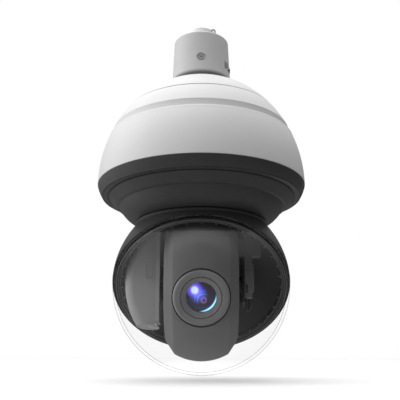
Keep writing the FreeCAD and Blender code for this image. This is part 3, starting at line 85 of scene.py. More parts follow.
class Shader:
    """A node material built step by step, with object-space noise for its grain."""

    def __init__(self, name):
        self.material = bpy.data.materials.new(name)
        self.material.use_nodes = True
        self.tree = self.material.node_tree
        self.surface = self.tree.nodes["Principled BSDF"]
        self.coords = self.tree.nodes.new("ShaderNodeTexCoord")

    @classmethod
    def reopen(cls, material):
        """Go on with a finished material."""
        shader = cls.__new__(cls)
        shader.material = material
        shader.tree = material.node_tree
        shader.surface = shader.tree.nodes.get("Principled BSDF")
        shader.coords = shader.tree.nodes.new("ShaderNodeTexCoord")
        return shader

    def node(self, kind, **values):
        """A new node, with its properties and inputs set by name."""
        made = self.tree.nodes.new(kind)
        for key, value in values.items():
            if hasattr(made, key):
                setattr(made, key, value)
            else:
                made.inputs[key.replace("_", " ")].default_value = value
        return made

    def join(self, source, target):
        self.tree.links.new(source, target)

    def set(self, **values):
        for key, value in values.items():
            self.surface.inputs[key.replace("_", " ")].default_value = value

    def noise(self, scale, detail=4.0, roughness=0.6, stretch=None):
        """Noise of a given size, in features per metre, from the object's own coordinates."""
        texture = self.node("ShaderNodeTexNoise", Scale=scale, Detail=detail, Roughness=roughness)
        source = self.coords.outputs["Object"]
        if stretch is not None:
            mapping = self.node("ShaderNodeMapping")
            mapping.inputs["Scale"].default_value = stretch
            self.join(source, mapping.inputs["Vector"])
            source = mapping.outputs["Vector"]
        self.join(source, texture.inputs["Vector"])
        return texture.outputs["Fac"]

    def ramp(self, source, stops):
        """Colour ramp from (position, colour) stops."""
        ramp = self.node("ShaderNodeValToRGB")
        elements = ramp.color_ramp.elements
        while len(elements) < len(stops):
            elements.new(0.5)
        for element, (position, colour) in zip(elements, stops):
            element.position = position
            element.color = colour if len(colour) == 4 else (*colour, 1)
        self.join(source, ramp.inputs["Fac"])
        return ramp.outputs["Color"]

    def spread(self, source, low, high):
        """A 0 to 1 value carried onto low to high."""
        span = self.node("ShaderNodeMapRange")
        span.inputs["To Min"].default_value = low
        span.inputs["To Max"].default_value = high
        self.join(source, span.inputs["Value"])
        return span.outputs["Result"]

    def edge_wear(self, radius):
        """Near 1 along sharp edges, from the difference between the true and a rounded normal."""
        bevel = self.node("ShaderNodeBevel", samples=4)
        bevel.inputs["Radius"].default_value = radius
        geometry = self.node("ShaderNodeNewGeometry")
        dot = self.node("ShaderNodeVectorMath", operation="DOT_PRODUCT")
        self.join(bevel.outputs["Normal"], dot.inputs[0])
        self.join(geometry.outputs["Normal"], dot.inputs[1])
        flip = self.node("ShaderNodeMapRange")
        flip.inputs["From Min"].default_value = 0.995
        flip.inputs["From Max"].default_value = 0.88
        self.join(dot.outputs["Value"], flip.inputs["Value"])
        return flip.outputs["Result"]

    def mix(self, factor, first, second):
        """The first colour where the factor is 0, the second where it is 1."""
        blend = self.node("ShaderNodeMix", data_type="RGBA")
        self.join(factor, blend.inputs["Factor"])
        for index, value in ((6, first), (7, second)):
            if isinstance(value, tuple):
                blend.inputs[index].default_value = value if len(value) == 4 else (*value, 1)
            else:
                self.join(value, blend.inputs[index])
        return blend.outputs[2]

    def bump(self, height, distance):
        """Add a bump of the given depth, in metres, to the bumps that are there."""
        bump = self.node("ShaderNodeBump")
        bump.inputs["Distance"].default_value = distance
        self.join(height, bump.inputs["Height"])
        previous = self.surface.inputs["Normal"]
        if previous.is_linked:
            self.join(previous.links[0].from_socket, bump.inputs["Normal"])
        self.join(bump.outputs["Normal"], previous)

    def math(self, operation, first, second=0.0):
        """One arithmetic node; each side is a number or another node's output."""
        node = self.node("ShaderNodeMath", operation=operation)
        for socket, value in zip(node.inputs, (first, second)):
            if isinstance(value, float):
                socket.default_value = value
            else:
                self.join(value, socket)
        return node.outputs["Value"]

    def falloff(self, source, start, end):
        """1 up to start, smoothly down to 0 at end; the other way round if end is less than start."""
        span = self.node("ShaderNodeMapRange", interpolation_type="SMOOTHSTEP")
        span.inputs["From Min"].default_value = end
        span.inputs["From Max"].default_value = start
        self.join(source, span.inputs["Value"])
        return span.outputs["Result"]

    def axis(self, letter):
        """One of the object's own coordinates."""
        split = self.node("ShaderNodeSeparateXYZ")
        self.join(self.coords.outputs["Object"], split.inputs["Vector"])
        return split.outputs[letter]

    def turned_plane(self, turn):
        """Object coordinates on a plane through the ball's centre, square to an axis turned about X."""
        turned_frame = self.node("ShaderNodeMapping", vector_type="TEXTURE")
        turned_frame.inputs["Location"].default_value = (0, 0, -BALL_DROP * MM)
        turned_frame.inputs["Rotation"].default_value = (math.radians(turn), 0, 0)
        self.join(self.coords.outputs["Object"], turned_frame.inputs["Vector"])
        flat = self.node("ShaderNodeVectorMath", operation="MULTIPLY")
        flat.inputs[1].default_value = (1, 1, 0)
        self.join(turned_frame.outputs["Vector"], flat.inputs[0])
        return flat.outputs["Vector"]

    def distance(self, plane, across, up):
        """How far, in metres, a point of a turned plane is from a place given in mm."""
        gap = self.node("ShaderNodeVectorMath", operation="DISTANCE")
        gap.inputs[1].default_value = (across * MM, up * MM, 0)
        self.join(plane, gap.inputs[0])
        return gap.outputs["Value"]

    def add_glow(self, surface, mask, colour, strength):
        """The surface with an emission added where the mask is above 0."""
        glow = self.node("ShaderNodeEmission")
        if isinstance(colour, tuple):
            glow.inputs["Color"].default_value = (*colour, 1)
        else:
            self.join(colour, glow.inputs["Color"])
        self.join(self.math("MULTIPLY", mask, strength), glow.inputs["Strength"])
        total = self.node("ShaderNodeAddShader")
        self.join(surface, total.inputs[0])
        self.join(glow.outputs["Emission"], total.inputs[1])
        return total.outputs["Shader"]


def moulded(name, colour, roughness, grain=2600, depth=0.05, variation=0.08, wear=0.0, gloss=0.5):
    """Moulded or painted surface: slight tone variation, uneven gloss, fine grain and paler edges."""
    shader = Shader(name)
    dark = tuple(c * (1 - variation) for c in colour)
    light = tuple(min(c * (1 + variation), 1) for c in colour)
    tone = shader.ramp(shader.noise(28, 5), [(0.3, dark), (0.7, light)])
    if wear:
        worn = tuple(c + (1 - c) * wear for c in colour)
        tone = shader.mix(shader.edge_wear(0.6 * MM), tone, worn)
    shader.join(tone, shader.surface.inputs["Base Color"])
    uneven = shader.spread(shader.noise(90, 6), roughness - 0.05, roughness + 0.05)
    shader.join(uneven, shader.surface.inputs["Roughness"])
    shader.bump(shader.noise(grain, 2), depth * MM)
    shader.set(Specular_IOR_Level=gloss)
    return shader.material


def metal(name, colour, roughness, brushed=(1, 1, 1), depth=0.02, grain=900):
    """Bare or anodised metal with a brushed or cast grain."""
    shader = Shader(name)
    dark = tuple(c * 0.85 for c in colour)
    tone = shader.ramp(shader.noise(60, 6), [(0.3, dark), (0.7, colour)])
    worn = tuple(min(c * 1.35 + 0.05, 1) for c in colour)
    tone = shader.mix(shader.edge_wear(0.4 * MM), tone, worn)
    shader.join(tone, shader.surface.inputs["Base Color"])
    streaks = shader.noise(grain, 3, stretch=brushed)
    uneven = shader.spread(streaks, roughness - 0.08, roughness + 0.1)
    shader.join(uneven, shader.surface.inputs["Roughness"])
    shader.bump(streaks, depth * MM)
    shader.set(Metallic=1.0)
    return shader.material


def see_through(name, tint, edge_tint, gloss_tint, gloss, roughness):
    """A clear surface: straight-through light, darker where it is seen edge on, and a thin gloss."""
    shader = Shader(name)
    facing = shader.node("ShaderNodeLayerWeight", Blend=0.5)
    clear = shader.node("ShaderNodeBsdfTransparent")
    tone = shader.ramp(facing.outputs["Facing"], [(0.86, tint), (0.985, edge_tint)])
    shader.join(tone, clear.inputs["Color"])
    shine = shader.node("ShaderNodeBsdfGlossy")
    shine.inputs["Color"].default_value = (*gloss_tint, 1)
    haze = shader.spread(shader.noise(700, 3), roughness * 0.7, roughness * 1.3)
    shader.join(haze, shine.inputs["Roughness"])
    share = shader.spread(facing.outputs["Fresnel"], gloss, min(gloss * 6, 1))
    blend = shader.node("ShaderNodeMixShader")
    shader.join(share, blend.inputs["Fac"])
    shader.join(clear.outputs["BSDF"], blend.inputs[1])
    shader.join(shine.outputs["BSDF"], blend.inputs[2])
    shader.tree.nodes.remove(shader.surface)
    shader.join(blend.outputs["Shader"], shader.tree.nodes["Material Output"].inputs["Surface"])
    return shader.material


def coated_glass():
    """The front element: see-through, with a painted glow and painted reflections given off as light: a
    coloured bloom, a spark, a haze, rings and a crescent.
    """
    tints = (0.62, 0.60, 0.62), (0.2, 0.2, 0.3), (0.75, 0.70, 1.0)
    material = see_through("coated_glass", *tints, gloss=0.02, roughness=0.03)
    shader = Shader.reopen(material)
    output = shader.tree.nodes["Material Output"].inputs["Surface"]
    surface = output.links[0].from_socket
    plane = shader.turned_plane(LENS_TURN)
    masks = {}
    # painted glows and painted reflections, each added as an emission
    for name, (place, full, end, colour, strength) in PAINTED_LENS_SPOTS.items():
        masks[name] = shader.falloff(shader.distance(plane, *place), full * MM, end * MM)
        surface = shader.add_glow(surface, masks[name], colour, strength)
    from_rings = shader.distance(plane, *RINGS_PLACE)
    for radius, width, colour, strength, fades in PAINTED_LENS_RINGS:
        off_ring = shader.math("ABSOLUTE", shader.math("SUBTRACT", from_rings, radius * MM))
        ring = shader.falloff(off_ring, 0.0, width * MM)
        if fades:
            ring = shader.math("MULTIPLY", ring, masks["haze"])
        surface = shader.add_glow(surface, ring, colour, strength)
    edge = shader.distance(plane, *CRESCENT_PLACE)
    crescent = shader.falloff(edge, CRESCENT_FULL * MM, CRESCENT_FROM * MM)
    tone = shader.ramp(crescent, CRESCENT_TONES)
    surface = shader.add_glow(surface, crescent, tone, CRESCENT_STRENGTH)
    surface = shader.add_glow(surface, 1.0, EVEN_HAZE, EVEN_HAZE_STRENGTH)
    shader.join(surface, output)
    return material


def circuit_board():
    """Dark solder mask over faint copper tracks."""
    shader = Shader("circuit_board")
    tracks = shader.node("ShaderNodeTexBrick", Scale=260)
    tracks.inputs["Color1"].default_value = (0.012, 0.016, 0.014, 1)
    tracks.inputs["Color2"].default_value = (0.014, 0.020, 0.017, 1)
    tracks.inputs["Mortar"].default_value = (0.035, 0.045, 0.038, 1)
    tracks.inputs["Mortar Size"].default_value = 0.04
    shader.join(shader.coords.outputs["Object"], tracks.inputs["Vector"])
    shader.join(tracks.outputs["Color"], shader.surface.inputs["Base Color"])
    shader.join(shader.spread(shader.noise(300, 4), 0.3, 0.45), shader.surface.inputs["Roughness"])
    shader.bump(tracks.outputs["Fac"], 0.03 * MM)
    return shader.material


def ball_shell():
    """Smooth black plastic outside, and paler inside the ball."""
    material = moulded("ball_shell", *MOULDED["ball_plastic"][:2], **MOULDED["ball_plastic"][2])
    shader = Shader.reopen(material)
    centre = shader.node("ShaderNodeVectorMath", operation="DISTANCE")
    centre.inputs[1].default_value = (0, 0, -BALL_DROP * MM)
    shader.join(shader.coords.outputs["Object"], centre.inputs[0])
    inside = shader.falloff(centre.outputs["Value"], BALL_INSIDE * MM, BALL_OUTSIDE * MM)
    base = shader.surface.inputs["Base Color"]
    shader.join(shader.mix(inside, base.links[0].from_socket, (0.26, 0.26, 0.262)), base)
    return material


def arm_plate():
    """The yoke's casting: black, except its left arm, painted pale as a painted highlight of the light
    falling on that side.
    """
    shader = Shader("arm_plate")
    # painted highlight: the left arm is painted pale
    left = shader.falloff(shader.axis("X"), ARM_HIGHLIGHT_FULL * MM, ARM_HIGHLIGHT_END * MM)
    painted_highlight_tone = shader.ramp(shader.noise(60, 5), [(0.3, (0.36, 0.36, 0.363)), (0.7, (0.42, 0.42, 0.423))])
    shader.join(shader.mix(left, (0.05, 0.05, 0.052), painted_highlight_tone), shader.surface.inputs["Base Color"])
    shader.join(shader.spread(shader.noise(300, 4), 0.4, 0.52), shader.surface.inputs["Roughness"])
    shader.bump(shader.noise(1800, 3), 0.04 * MM)
    return shader.material


def window_ring():
    """Dark plastic with a painted highlight along each of its two ridges, and paler inner ticks."""
    shader = Shader("window_ring")
    out = shader.distance(shader.turned_plane(WINDOW_TURN), 0, 0)
    # painted highlights along the two ridges
    ridges = 0.0
    for ridge in RING_RIDGES:
        beside = shader.math("ABSOLUTE", shader.math("SUBTRACT", out, ridge * MM))
        ridges = shader.math("MAXIMUM", shader.falloff(beside, RIDGE_HALF * MM, RIDGE_END * MM), ridges)
    ticks = shader.falloff(out, TICK_END * MM, RING_START * MM)
    tone = shader.ramp(shader.noise(28, 5), [(0.3, (0.026, 0.026, 0.026)), (0.7, (0.031, 0.031, 0.031))])
    tone = shader.mix(ridges, tone, (0.12, 0.12, 0.122))
    tone = shader.mix(ticks, tone, (0.11, 0.11, 0.112))
    shader.join(tone, shader.surface.inputs["Base Color"])
    shader.join(shader.spread(shader.noise(90, 6), 0.32, 0.42), shader.surface.inputs["Roughness"])
    shader.bump(shader.noise(2600, 2), 0.02 * MM)
    return shader.material


def shaded_neck():
    """Grey paint with a painted shadow: darker towards its foot, in the joint with the cap."""
    material = moulded("shaded_neck", (0.60, 0.60, 0.60), 0.42, **PAINT)
    shader = Shader.reopen(material)
    # painted shadow on the neck's foot, where it meets the cap
    painted_shadow = shader.falloff(shader.axis("Z"), NECK_SHADOW_FOOT * MM, NECK_SHADOW_END * MM)
    base = shader.surface.inputs["Base Color"]
    unshadowed = base.links[0].from_socket
    shader.join(shader.mix(painted_shadow, unshadowed, (0.10, 0.10, 0.10)), base)
    return material


def lever_ring():
    """A blackened ring whose lever is left bright."""
    shader = Shader("lock_ring")
    out = shader.falloff(shader.axis("X"), LEVER_OUT * MM, (LEVER_OUT - LEVER_BLEND) * MM)
    above = shader.falloff(shader.axis("Z"), LEVER_ABOVE * MM, (LEVER_ABOVE - LEVER_BLEND) * MM)
    lever = shader.math("MULTIPLY", out, above)
    worn = shader.ramp(shader.noise(80, 5), [(0.3, (0.55, 0.55, 0.56)), (0.7, (0.70, 0.70, 0.71))])
    shader.join(shader.mix(lever, (0.03, 0.03, 0.03), worn), shader.surface.inputs["Base Color"])
    shader.join(shader.spread(shader.noise(400, 4), 0.35, 0.5), shader.surface.inputs["Roughness"])
    shader.bump(shader.noise(1400, 3), 0.03 * MM)
    return shader.material


# colour, roughness and the further arguments of moulded()
PAINT = dict(grain=1800, depth=0.06, variation=0.03, wear=0.25)
MOULDED = {
    "painted_grey": ((0.50, 0.50, 0.50), 0.42, PAINT),
    "white_cover": ((0.76, 0.76, 0.76), 0.38, dict(grain=2400, depth=0.03, variation=0.015, wear=0.1)),
    "black_housing": ((0.056, 0.056, 0.057), 0.42, dict(grain=2200, depth=0.05, wear=0.03, gloss=0.25)),
    "ball_plastic": ((0.040, 0.040, 0.041), 0.38, dict(grain=2600, depth=0.03, wear=0.03, gloss=0.25)),
    "inner_plastic": ((0.155, 0.155, 0.157), 0.55, dict(grain=2200, depth=0.05, wear=0.06, gloss=0.3)),
    "seal_rubber": ((0.010, 0.010, 0.010), 0.7, dict(grain=1500, depth=0.08)),
    "black_plastic": ((0.018, 0.018, 0.019), 0.4, dict(grain=2600, depth=0.04, wear=0.05)),
    "nylon": ((0.62, 0.61, 0.56), 0.45, dict(grain=2200, depth=0.04, wear=0.1)),
    "cheek_plastic": ((0.32, 0.32, 0.322), 0.5, dict(grain=2200, depth=0.05, wear=0.06, gloss=0.3)),
    "bezel_plastic": ((0.25, 0.25, 0.252), 0.5, dict(grain=2400, depth=0.04, wear=0.06, gloss=0.3)),
    "pale_stub": ((0.95, 0.95, 0.95), 0.4, dict(grain=1800, depth=0.06, variation=0.03, wear=0.2))}

# colour, roughness and the further arguments of metal()
METALS = {
    "steel": ((0.55, 0.55, 0.57), 0.32, dict(brushed=(1, 1, 8))),
    "bright_steel": ((0.82, 0.82, 0.84), 0.16, dict(brushed=(1, 1, 10))),
    "cast_metal": ((0.48, 0.49, 0.51), 0.5, dict(depth=0.08, grain=1200)),
    "dark_cast": ((0.07, 0.07, 0.075), 0.45, dict(depth=0.06, grain=1400)),
    "brass": ((0.72, 0.52, 0.22), 0.3, dict(brushed=(1, 1, 6)))}

# tint, tint seen edge on, tint of the gloss, its share and its roughness
CLEAR = {
    "clear_dome": ((1, 1, 1), (0.55, 0.56, 0.57), (1, 1, 1), 0.006, 0.03),
    "inner_lens": ((0.5, 0.42, 0.6), (0.1, 0.1, 0.2), (1.0, 0.45, 0.9), 0.05, 0.03),
    "deep_lens": ((0.04, 0.05, 0.09), (0.02, 0.02, 0.04), (0.25, 0.75, 1.0), 0.12, 0.04),
    "lens_glass": ((0.55, 0.60, 0.80), (0.2, 0.2, 0.3), (0.45, 0.40, 1.0), 0.10, 0.03)}

MATERIALS = {name: moulded(name, colour, roughness, **rest)
             for name, (colour, roughness, rest) in MOULDED.items()}
MATERIALS.update({name: metal(name, colour, roughness, **rest)
                  for name, (colour, roughness, rest) in METALS.items()})
MATERIALS.update({name: see_through(name, *values) for name, values in CLEAR.items()})
MATERIALS.update(circuit_board=circuit_board(), coated_glass=coated_glass(), arm_plate=arm_plate(),
                 ball_shell=ball_shell(), window_ring=window_ring(), shaded_neck=shaded_neck(),
                 lock_ring=lever_ring())

# nodes whose finish differs from their slot's
LOOKS = {"yoke_frame": "arm_plate", "ball_shell": "ball_shell", "window_ring": "window_ring",
         "lock_ring": "lock_ring", "mount_adapter": "shaded_neck", "pipe_stub": "pale_stub",
         "left_arm_cover": "cheek_plastic", "lens_bezel": "bezel_plastic", "lens_ring": "bezel_plastic",
         "front_element": "coated_glass"}


def dress_nodes():
    """Give every CAD node its slot's material, or its own where LOOKS names one."""
    for row in frame["record"]["subparts"]:
        node = NODES[row["node"]]
        node.data.materials.clear()
        node.data.materials.append(MATERIALS[LOOKS.get(row["node"], row["material_slot"])])
        for face in node.data.polygons:
            face.material_index = 0


# ---------------------------------------------------------------- turned pieces

SMOOTH_LIMIT = math.radians(32)      # edges that turn more than this stay sharp


def fillet(before, corner, after, radius, steps=4):
    """Points of a small arc that rounds one corner of an outline."""
    back = Vector(before) - Vector(corner)
    ahead = Vector(after) - Vector(corner)
    angle = back.angle(ahead)
    reach = min(radius / math.tan(angle / 2), back.length * 0.48, ahead.length * 0.48)
    start = Vector(corner) + back.normalized() * reach
    end = Vector(corner) + ahead.normalized() * reach
    points = []
    for step in range(steps + 1):
        t = step / steps
        points.append(start * (1 - t) ** 2 + Vector(corner) * (2 * t * (1 - t)) + end * t ** 2)
    return [tuple(point) for point in points]


def rounded(outline):
    """A closed outline of (radius, height) points in mm; a third number rounds that corner."""
    points = []
    for index, corner in enumerate(outline):
        if len(corner) == 2:
            points.append(corner)
            continue
        before = outline[index - 1][:2]
        after = outline[(index + 1) % len(outline)][:2]
        points += fillet(before, corner[:2], after, corner[2])
    return points


def arc(start, end, radius, steps=16):
    """Points between two places on a circle; a positive radius turns counter-clockwise."""
    start, end = Vector(start), Vector(end)
    half = (end - start).length / 2
    side = Vector((-(end - start).y, (end - start).x)).normalized()
    centre = (start + end) / 2 + side * math.copysign(math.sqrt(radius * radius - half * half), radius)
    first = math.atan2(*reversed(start - centre))
    sweep = (start - centre).angle_signed(end - centre) * -1
    return [tuple(centre + abs(radius) * Vector((math.cos(first + sweep * i / steps),
                                                 math.sin(first + sweep * i / steps))))
            for i in range(steps + 1)]


def lathe(name, outline, turns=192, height=0.0, tilt=0.0):
    """Turn an outline about Z, then tilt the piece about X and lift it to its place."""
    mesh = bpy.data.meshes.new(name)
    build = bmesh.new()
    place = Matrix.Translation((0, 0, height * MM)) @ Matrix.Rotation(math.radians(tilt), 4, "X")
    rings = []
    for radius, up in outline:
        if radius < 1e-6:
            rings.append([build.verts.new(place @ Vector((0, 0, up * MM)))])
            continue
        rings.append([build.verts.new(place @ Vector((radius * MM * math.cos(math.tau * i / turns),
                                                      radius * MM * math.sin(math.tau * i / turns), up * MM)))
                      for i in range(turns)])
    for index, ring in enumerate(rings):
        following = rings[(index + 1) % len(rings)]
        if len(ring) == 1 and len(following) == 1:
            continue
        for i in range(turns):
            corners = [ring[i % len(ring)], ring[(i + 1) % turns % len(ring)],
                       following[(i + 1) % turns % len(following)], following[i % len(following)]]
            unique = list(dict.fromkeys(corners))
            build.faces.new(unique)
    bmesh.ops.recalc_face_normals(build, faces=build.faces)
    build.to_mesh(mesh)
    build.free()
    mesh.polygons.foreach_set("use_smooth", [True] * len(mesh.polygons))
    mesh.set_sharp_from_angle(angle=SMOOTH_LIMIT)
    piece = bpy.data.objects.new(name, mesh)
    bpy.context.scene.collection.objects.link(piece)
    return piece


def stand_for(piece, node):
    """A piece takes the place, the body and the finish of one CAD node."""
    row = next(r for r in frame["record"]["subparts"] if r["node"] == node)
    finish = LOOKS.get(node, row["material_slot"])
    body = next(b for b, names in frame["record"]["behaviour"]["bodies"].items() if node in names)
    piece.data.materials.append(MATERIALS[finish])
    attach(piece, body)
    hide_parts(node)
    return piece


# sizes in mm and angles in degrees, as in the CAD model
DOME_RADIUS, DOME_HEIGHT, DOME_DROP, WALL = 116, 131.5, 184, 3
NECK_ANGLE, SEAM_ANGLE, BAND_ANGLE, SHOULDER_ANGLE = 73, 43, 29.7, 24.9
BAND_RADIUS, LEDGE_DROP = 100.7, 127.2
CAP_HOLE, CAP_ROOF = 24, -61.5
CLEAR_RADIUS, CLEAR_WALL, WINDOW_OFFSET = 95.6, 3, 3.5


def on_dome(inset, angle):
    """A point of the covers' oval section, that far inside its skin, at an angle above its widest level."""
    turn = math.radians(angle)
    return ((DOME_RADIUS - inset) * math.cos(turn), (DOME_HEIGHT - inset) * math.sin(turn) - DOME_DROP)


def dome_run(inset, start, end, steps=24):
    """Points along the covers' section from one angle to another."""
    return [on_dome(inset, start + (end - start) * i / steps) for i in range(steps + 1)]


def make_covers():
    """The three white shells, with softly rounded lips along their seams, and a dark rubber seal strip in the
    upper seam, which also stands in for the shade in the seam.
    """
    lip = SEAM_ANGLE - 1.6
    cap = dome_run(0, NECK_ANGLE, SEAM_ANGLE + 0.5)
    cap += [on_dome(0, SEAM_ANGLE) + (0.5,), on_dome(WALL + 0.2, SEAM_ANGLE), on_dome(WALL + 0.2, lip),
            on_dome(WALL + 2, lip), on_dome(WALL + 2, SEAM_ANGLE + 2)]
    cap += [point for point in dome_run(WALL, SEAM_ANGLE + 3, NECK_ANGLE) if point[1] < CAP_ROOF - 0.1]
    cap += [(CAP_HOLE, CAP_ROOF), (CAP_HOLE, on_dome(0, NECK_ANGLE)[1], 0.5)]
    stand_for(lathe("TopCap", rounded(cap)), "top_cap")
    # dark rubber seal strip in the upper seam's gap, which also stands in for the seam's shade
    middle = SEAM_ANGLE - 0.2
    corners = ((0.2, 0.24), (0.2, -0.24), (3.0, -0.24), (3.0, 0.24))
    strip = [on_dome(inset, middle + turn) for inset, turn in corners]
    gasket = lathe("SeamGasketAndShade", strip)
    gasket.data.materials.append(MATERIALS["seal_rubber"])
    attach(gasket, "housing")
    top = SEAM_ANGLE - 0.45
    cover = [on_dome(WALL, top), on_dome(0, top) + (0.5,)]
    cover += dome_run(0, top - 0.5, BAND_ANGLE + 0.4)
    cover += [on_dome(0, BAND_ANGLE) + (0.3,), on_dome(WALL, BAND_ANGLE + 0.8) + (0.4,)]
    cover += dome_run(WALL, BAND_ANGLE + 1.5, top - 1)
    stand_for(lathe("UpperCover", rounded(cover)), "upper_cover")
    shoulder = on_dome(0, SHOULDER_ANGLE)
    inner = BAND_RADIUS - 2.8
    band_top = on_dome(0, BAND_ANGLE)[1] - 0.15
    shield = [(inner, band_top), (BAND_RADIUS, band_top), (BAND_RADIUS, -LEDGE_DROP, 0.8),
              (shoulder[0] - 0.2, -LEDGE_DROP, 1.8)]
    shield += dome_run(0, SHOULDER_ANGLE - 0.9, 0.4, 40)
    shield += [(DOME_RADIUS, -DOME_DROP, 0.35), (DOME_RADIUS - WALL, -DOME_DROP)]
    shield += dome_run(WALL, 1, SHOULDER_ANGLE - 0.6, 40)
    shield += [(inner, on_dome(WALL, SHOULDER_ANGLE - 0.6)[1])]
    stand_for(lathe("SunShield", rounded(shield), 224), "sun_shield")


def make_dark_housing():
    """Lower housing, skirt and collar, with rounded steps that catch the light."""
    rim = arc((110.6, -196.3), (116, -184.4), 34)[1:-1]
    housing = [(80, -202.9), (80, -207.3), (92.1, -207.3, 0.5), (94.5, -206.5, 0.8), (103.4, -197.4, 0.3),
               (103.2, -196.0), (104.3, -196.0), (104.6, -196.6, 0.3), (109.6, -196.3, 0.3), (109.7, -195.4),
               (110.7, -195.4), (111.0, -196.2, 0.4)]
    housing += rim
    housing += [(116, -184.4, 0.4), (110.6, -184.4), (107, -192.7), (101.2, -192.7), (91.7, -202.9)]
    stand_for(lathe("LowerHousing", rounded(housing), 224), "base_housing")
    sweep = arc((72.2, -225.1), (91.5, -207.3), 38, 20)
    flare = [(68.6, -225.1), (72.2, -225.1, 0.5)] + sweep[1:-1]
    flare += [(91.5, -207.3), (84.5, -207.3), (68.6, -221.5)]
    stand_for(lathe("NeckSkirt", rounded(flare), 192), "neck_flare")
    collar = [(66, -229.5), (72, -229.5, 0.4), (73.2, -227.9, 0.7), (72.6, -226.2, 0.5), (66, -226.2)]
    stand_for(lathe("BallCollar", rounded(collar), 192), "collar_ring")


def make_clear_dome():
    """The clear half ball: a finely turned shell with its rim on the seal."""
    inner = CLEAR_RADIUS - CLEAR_WALL
    start = math.asin(WINDOW_OFFSET / CLEAR_RADIUS)
    inner_start = math.asin(WINDOW_OFFSET / inner)
    steps = 56
    outline = []
    for i in range(steps + 1):
        turn = start + (math.pi / 2 - start) * i / steps
        outline.append((CLEAR_RADIUS * math.cos(turn) if i < steps else 0, CLEAR_RADIUS * math.sin(turn)))
    for i in range(steps + 1):
        turn = math.pi / 2 - (math.pi / 2 - inner_start) * i / steps
        outline.append((inner * math.cos(turn) if i else 0, inner * math.sin(turn)))
    stand_for(lathe("ClearDome", outline, 224, -BALL_DROP, WINDOW_TURN), "dome_window")


def make_window_ring():
    """The bezel ring around the window: two fine ridges with a groove between them, and ticks inside."""
    outer, inner = RING_RIDGES[1], RING_RIDGES[0]
    outline = [(86, -2), (92.2, -2), (92.2, 4.6, 0.4), (outer + 0.4, 7.4, 0.3), (outer - 0.4, 7.4, 0.3),
               (outer - 0.8, 5.8, 0.2), (inner + 0.7, 5.8, 0.2), (inner + 0.35, 7.2, 0.25),
               (inner - 0.35, 7.2, 0.25), (inner - 0.6, 4.6, 0.3), (86, 4.6, 0.4)]
    ring = lathe("WindowRing", rounded(outline), 224, -BALL_DROP, WINDOW_TURN)
    place = Matrix.Translation((0, 0, -BALL_DROP * MM)) @ Matrix.Rotation(math.radians(WINDOW_TURN), 4, "X")
    across, along, tall = TICK_SIZE
    size = Matrix.Diagonal((across * MM, along * MM, tall * MM, 1))
    spot = Matrix.Translation((0, -(TICK_RADIUS + along / 2) * MM, (TICK_BASE + tall / 2) * MM))
    build = bmesh.new()
    build.from_mesh(ring.data)
    for index in range(TICK_COUNT):
        turn = Matrix.Rotation(math.tau * index / TICK_COUNT, 4, "Z")
        bmesh.ops.create_cube(build, size=1, matrix=place @ turn @ spot @ size)
    build.to_mesh(ring.data)
    build.free()
    stand_for(ring, "window_ring")


def make_lens():
    """The front element, two coated elements behind it and the ribbed black bore they sit in."""
    front = [(0, 65.2), (14.8, 65.6)] + arc((14.8, 68.5), (0, 72.56), 29, 20)[:-1] + [(0, 72.56)]
    stand_for(lathe("FrontLens", front, 128, -BALL_DROP, LENS_TURN), "front_element")
    pieces = []
    convex = [(0, 58.0)] + arc((11.5, 59.0), (0, 63.2), 18, 16)[:-1] + [(0, 63.2)]
    pieces.append((lathe("InnerLens", convex, 96, -BALL_DROP, LENS_TURN), MATERIALS["inner_lens"]))
    dish = [(0, 53.4), (15.5, 53.4)] + arc((15.5, 58.8), (0, 54.0), -27.4, 16)[:-1] + [(0, 54.0)]
    pieces.append((lathe("DeepLens", dish, 96, -BALL_DROP, LENS_TURN), MATERIALS["deep_lens"]))
    foot, pitch, valley, crest = 54.0, 1.6, 17.6, 16.2
    bore = []
    for rib in range(7):
        low = foot + rib * pitch
        bore += [(valley, low), (crest, low + 0.5), (crest, low + 1.1)]
    bore += [(valley, 65.0), (17.9, 65.0), (17.9, foot)]
    pieces.append((lathe("LensBore", bore, 96, -BALL_DROP, LENS_TURN), MATERIALS["black_plastic"]))
    for piece, material in pieces:
        piece.data.materials.append(material)
        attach(piece, "camera_head")


# ---------------------------------------------------------------- camera, light, stage

CAMERA_PLACE, CAMERA_LIFT = (0, -0.7286, -0.4177), 16.86       # metres; degrees above level
CAMERA_LENS, CAMERA_SENSOR, CAMERA_SHIFT = 60.82, 36, -0.00325


def make_camera():
    """A low view from the front, looking up."""
    camera = bpy.data.cameras.new("camera")
    camera.sensor_width = CAMERA_SENSOR
    camera.lens = CAMERA_LENS
    camera.shift_x = CAMERA_SHIFT
    holder = bpy.data.objects.new("camera", camera)
    bpy.context.scene.collection.objects.link(holder)
    holder.location = CAMERA_PLACE
    holder.rotation_euler = (math.radians(90 + CAMERA_LIFT), 0, 0)
    bpy.context.scene.camera = holder
    bpy.context.scene.view_settings.view_transform = "Standard"


# brightness of the studio towards each side: (axis, from, to, added brightness)
STUDIO_BASE = 0.15
STUDIO_SIDES = (("Y", -0.2, 1.0, 0.05), ("Z", 0.2, 1.0, 0.95), ("X", -0.6, -1.0, 1.0),
                ("Z", 0.1, -1.0, 0.40), ("X", 0.1, 1.0, -0.10))


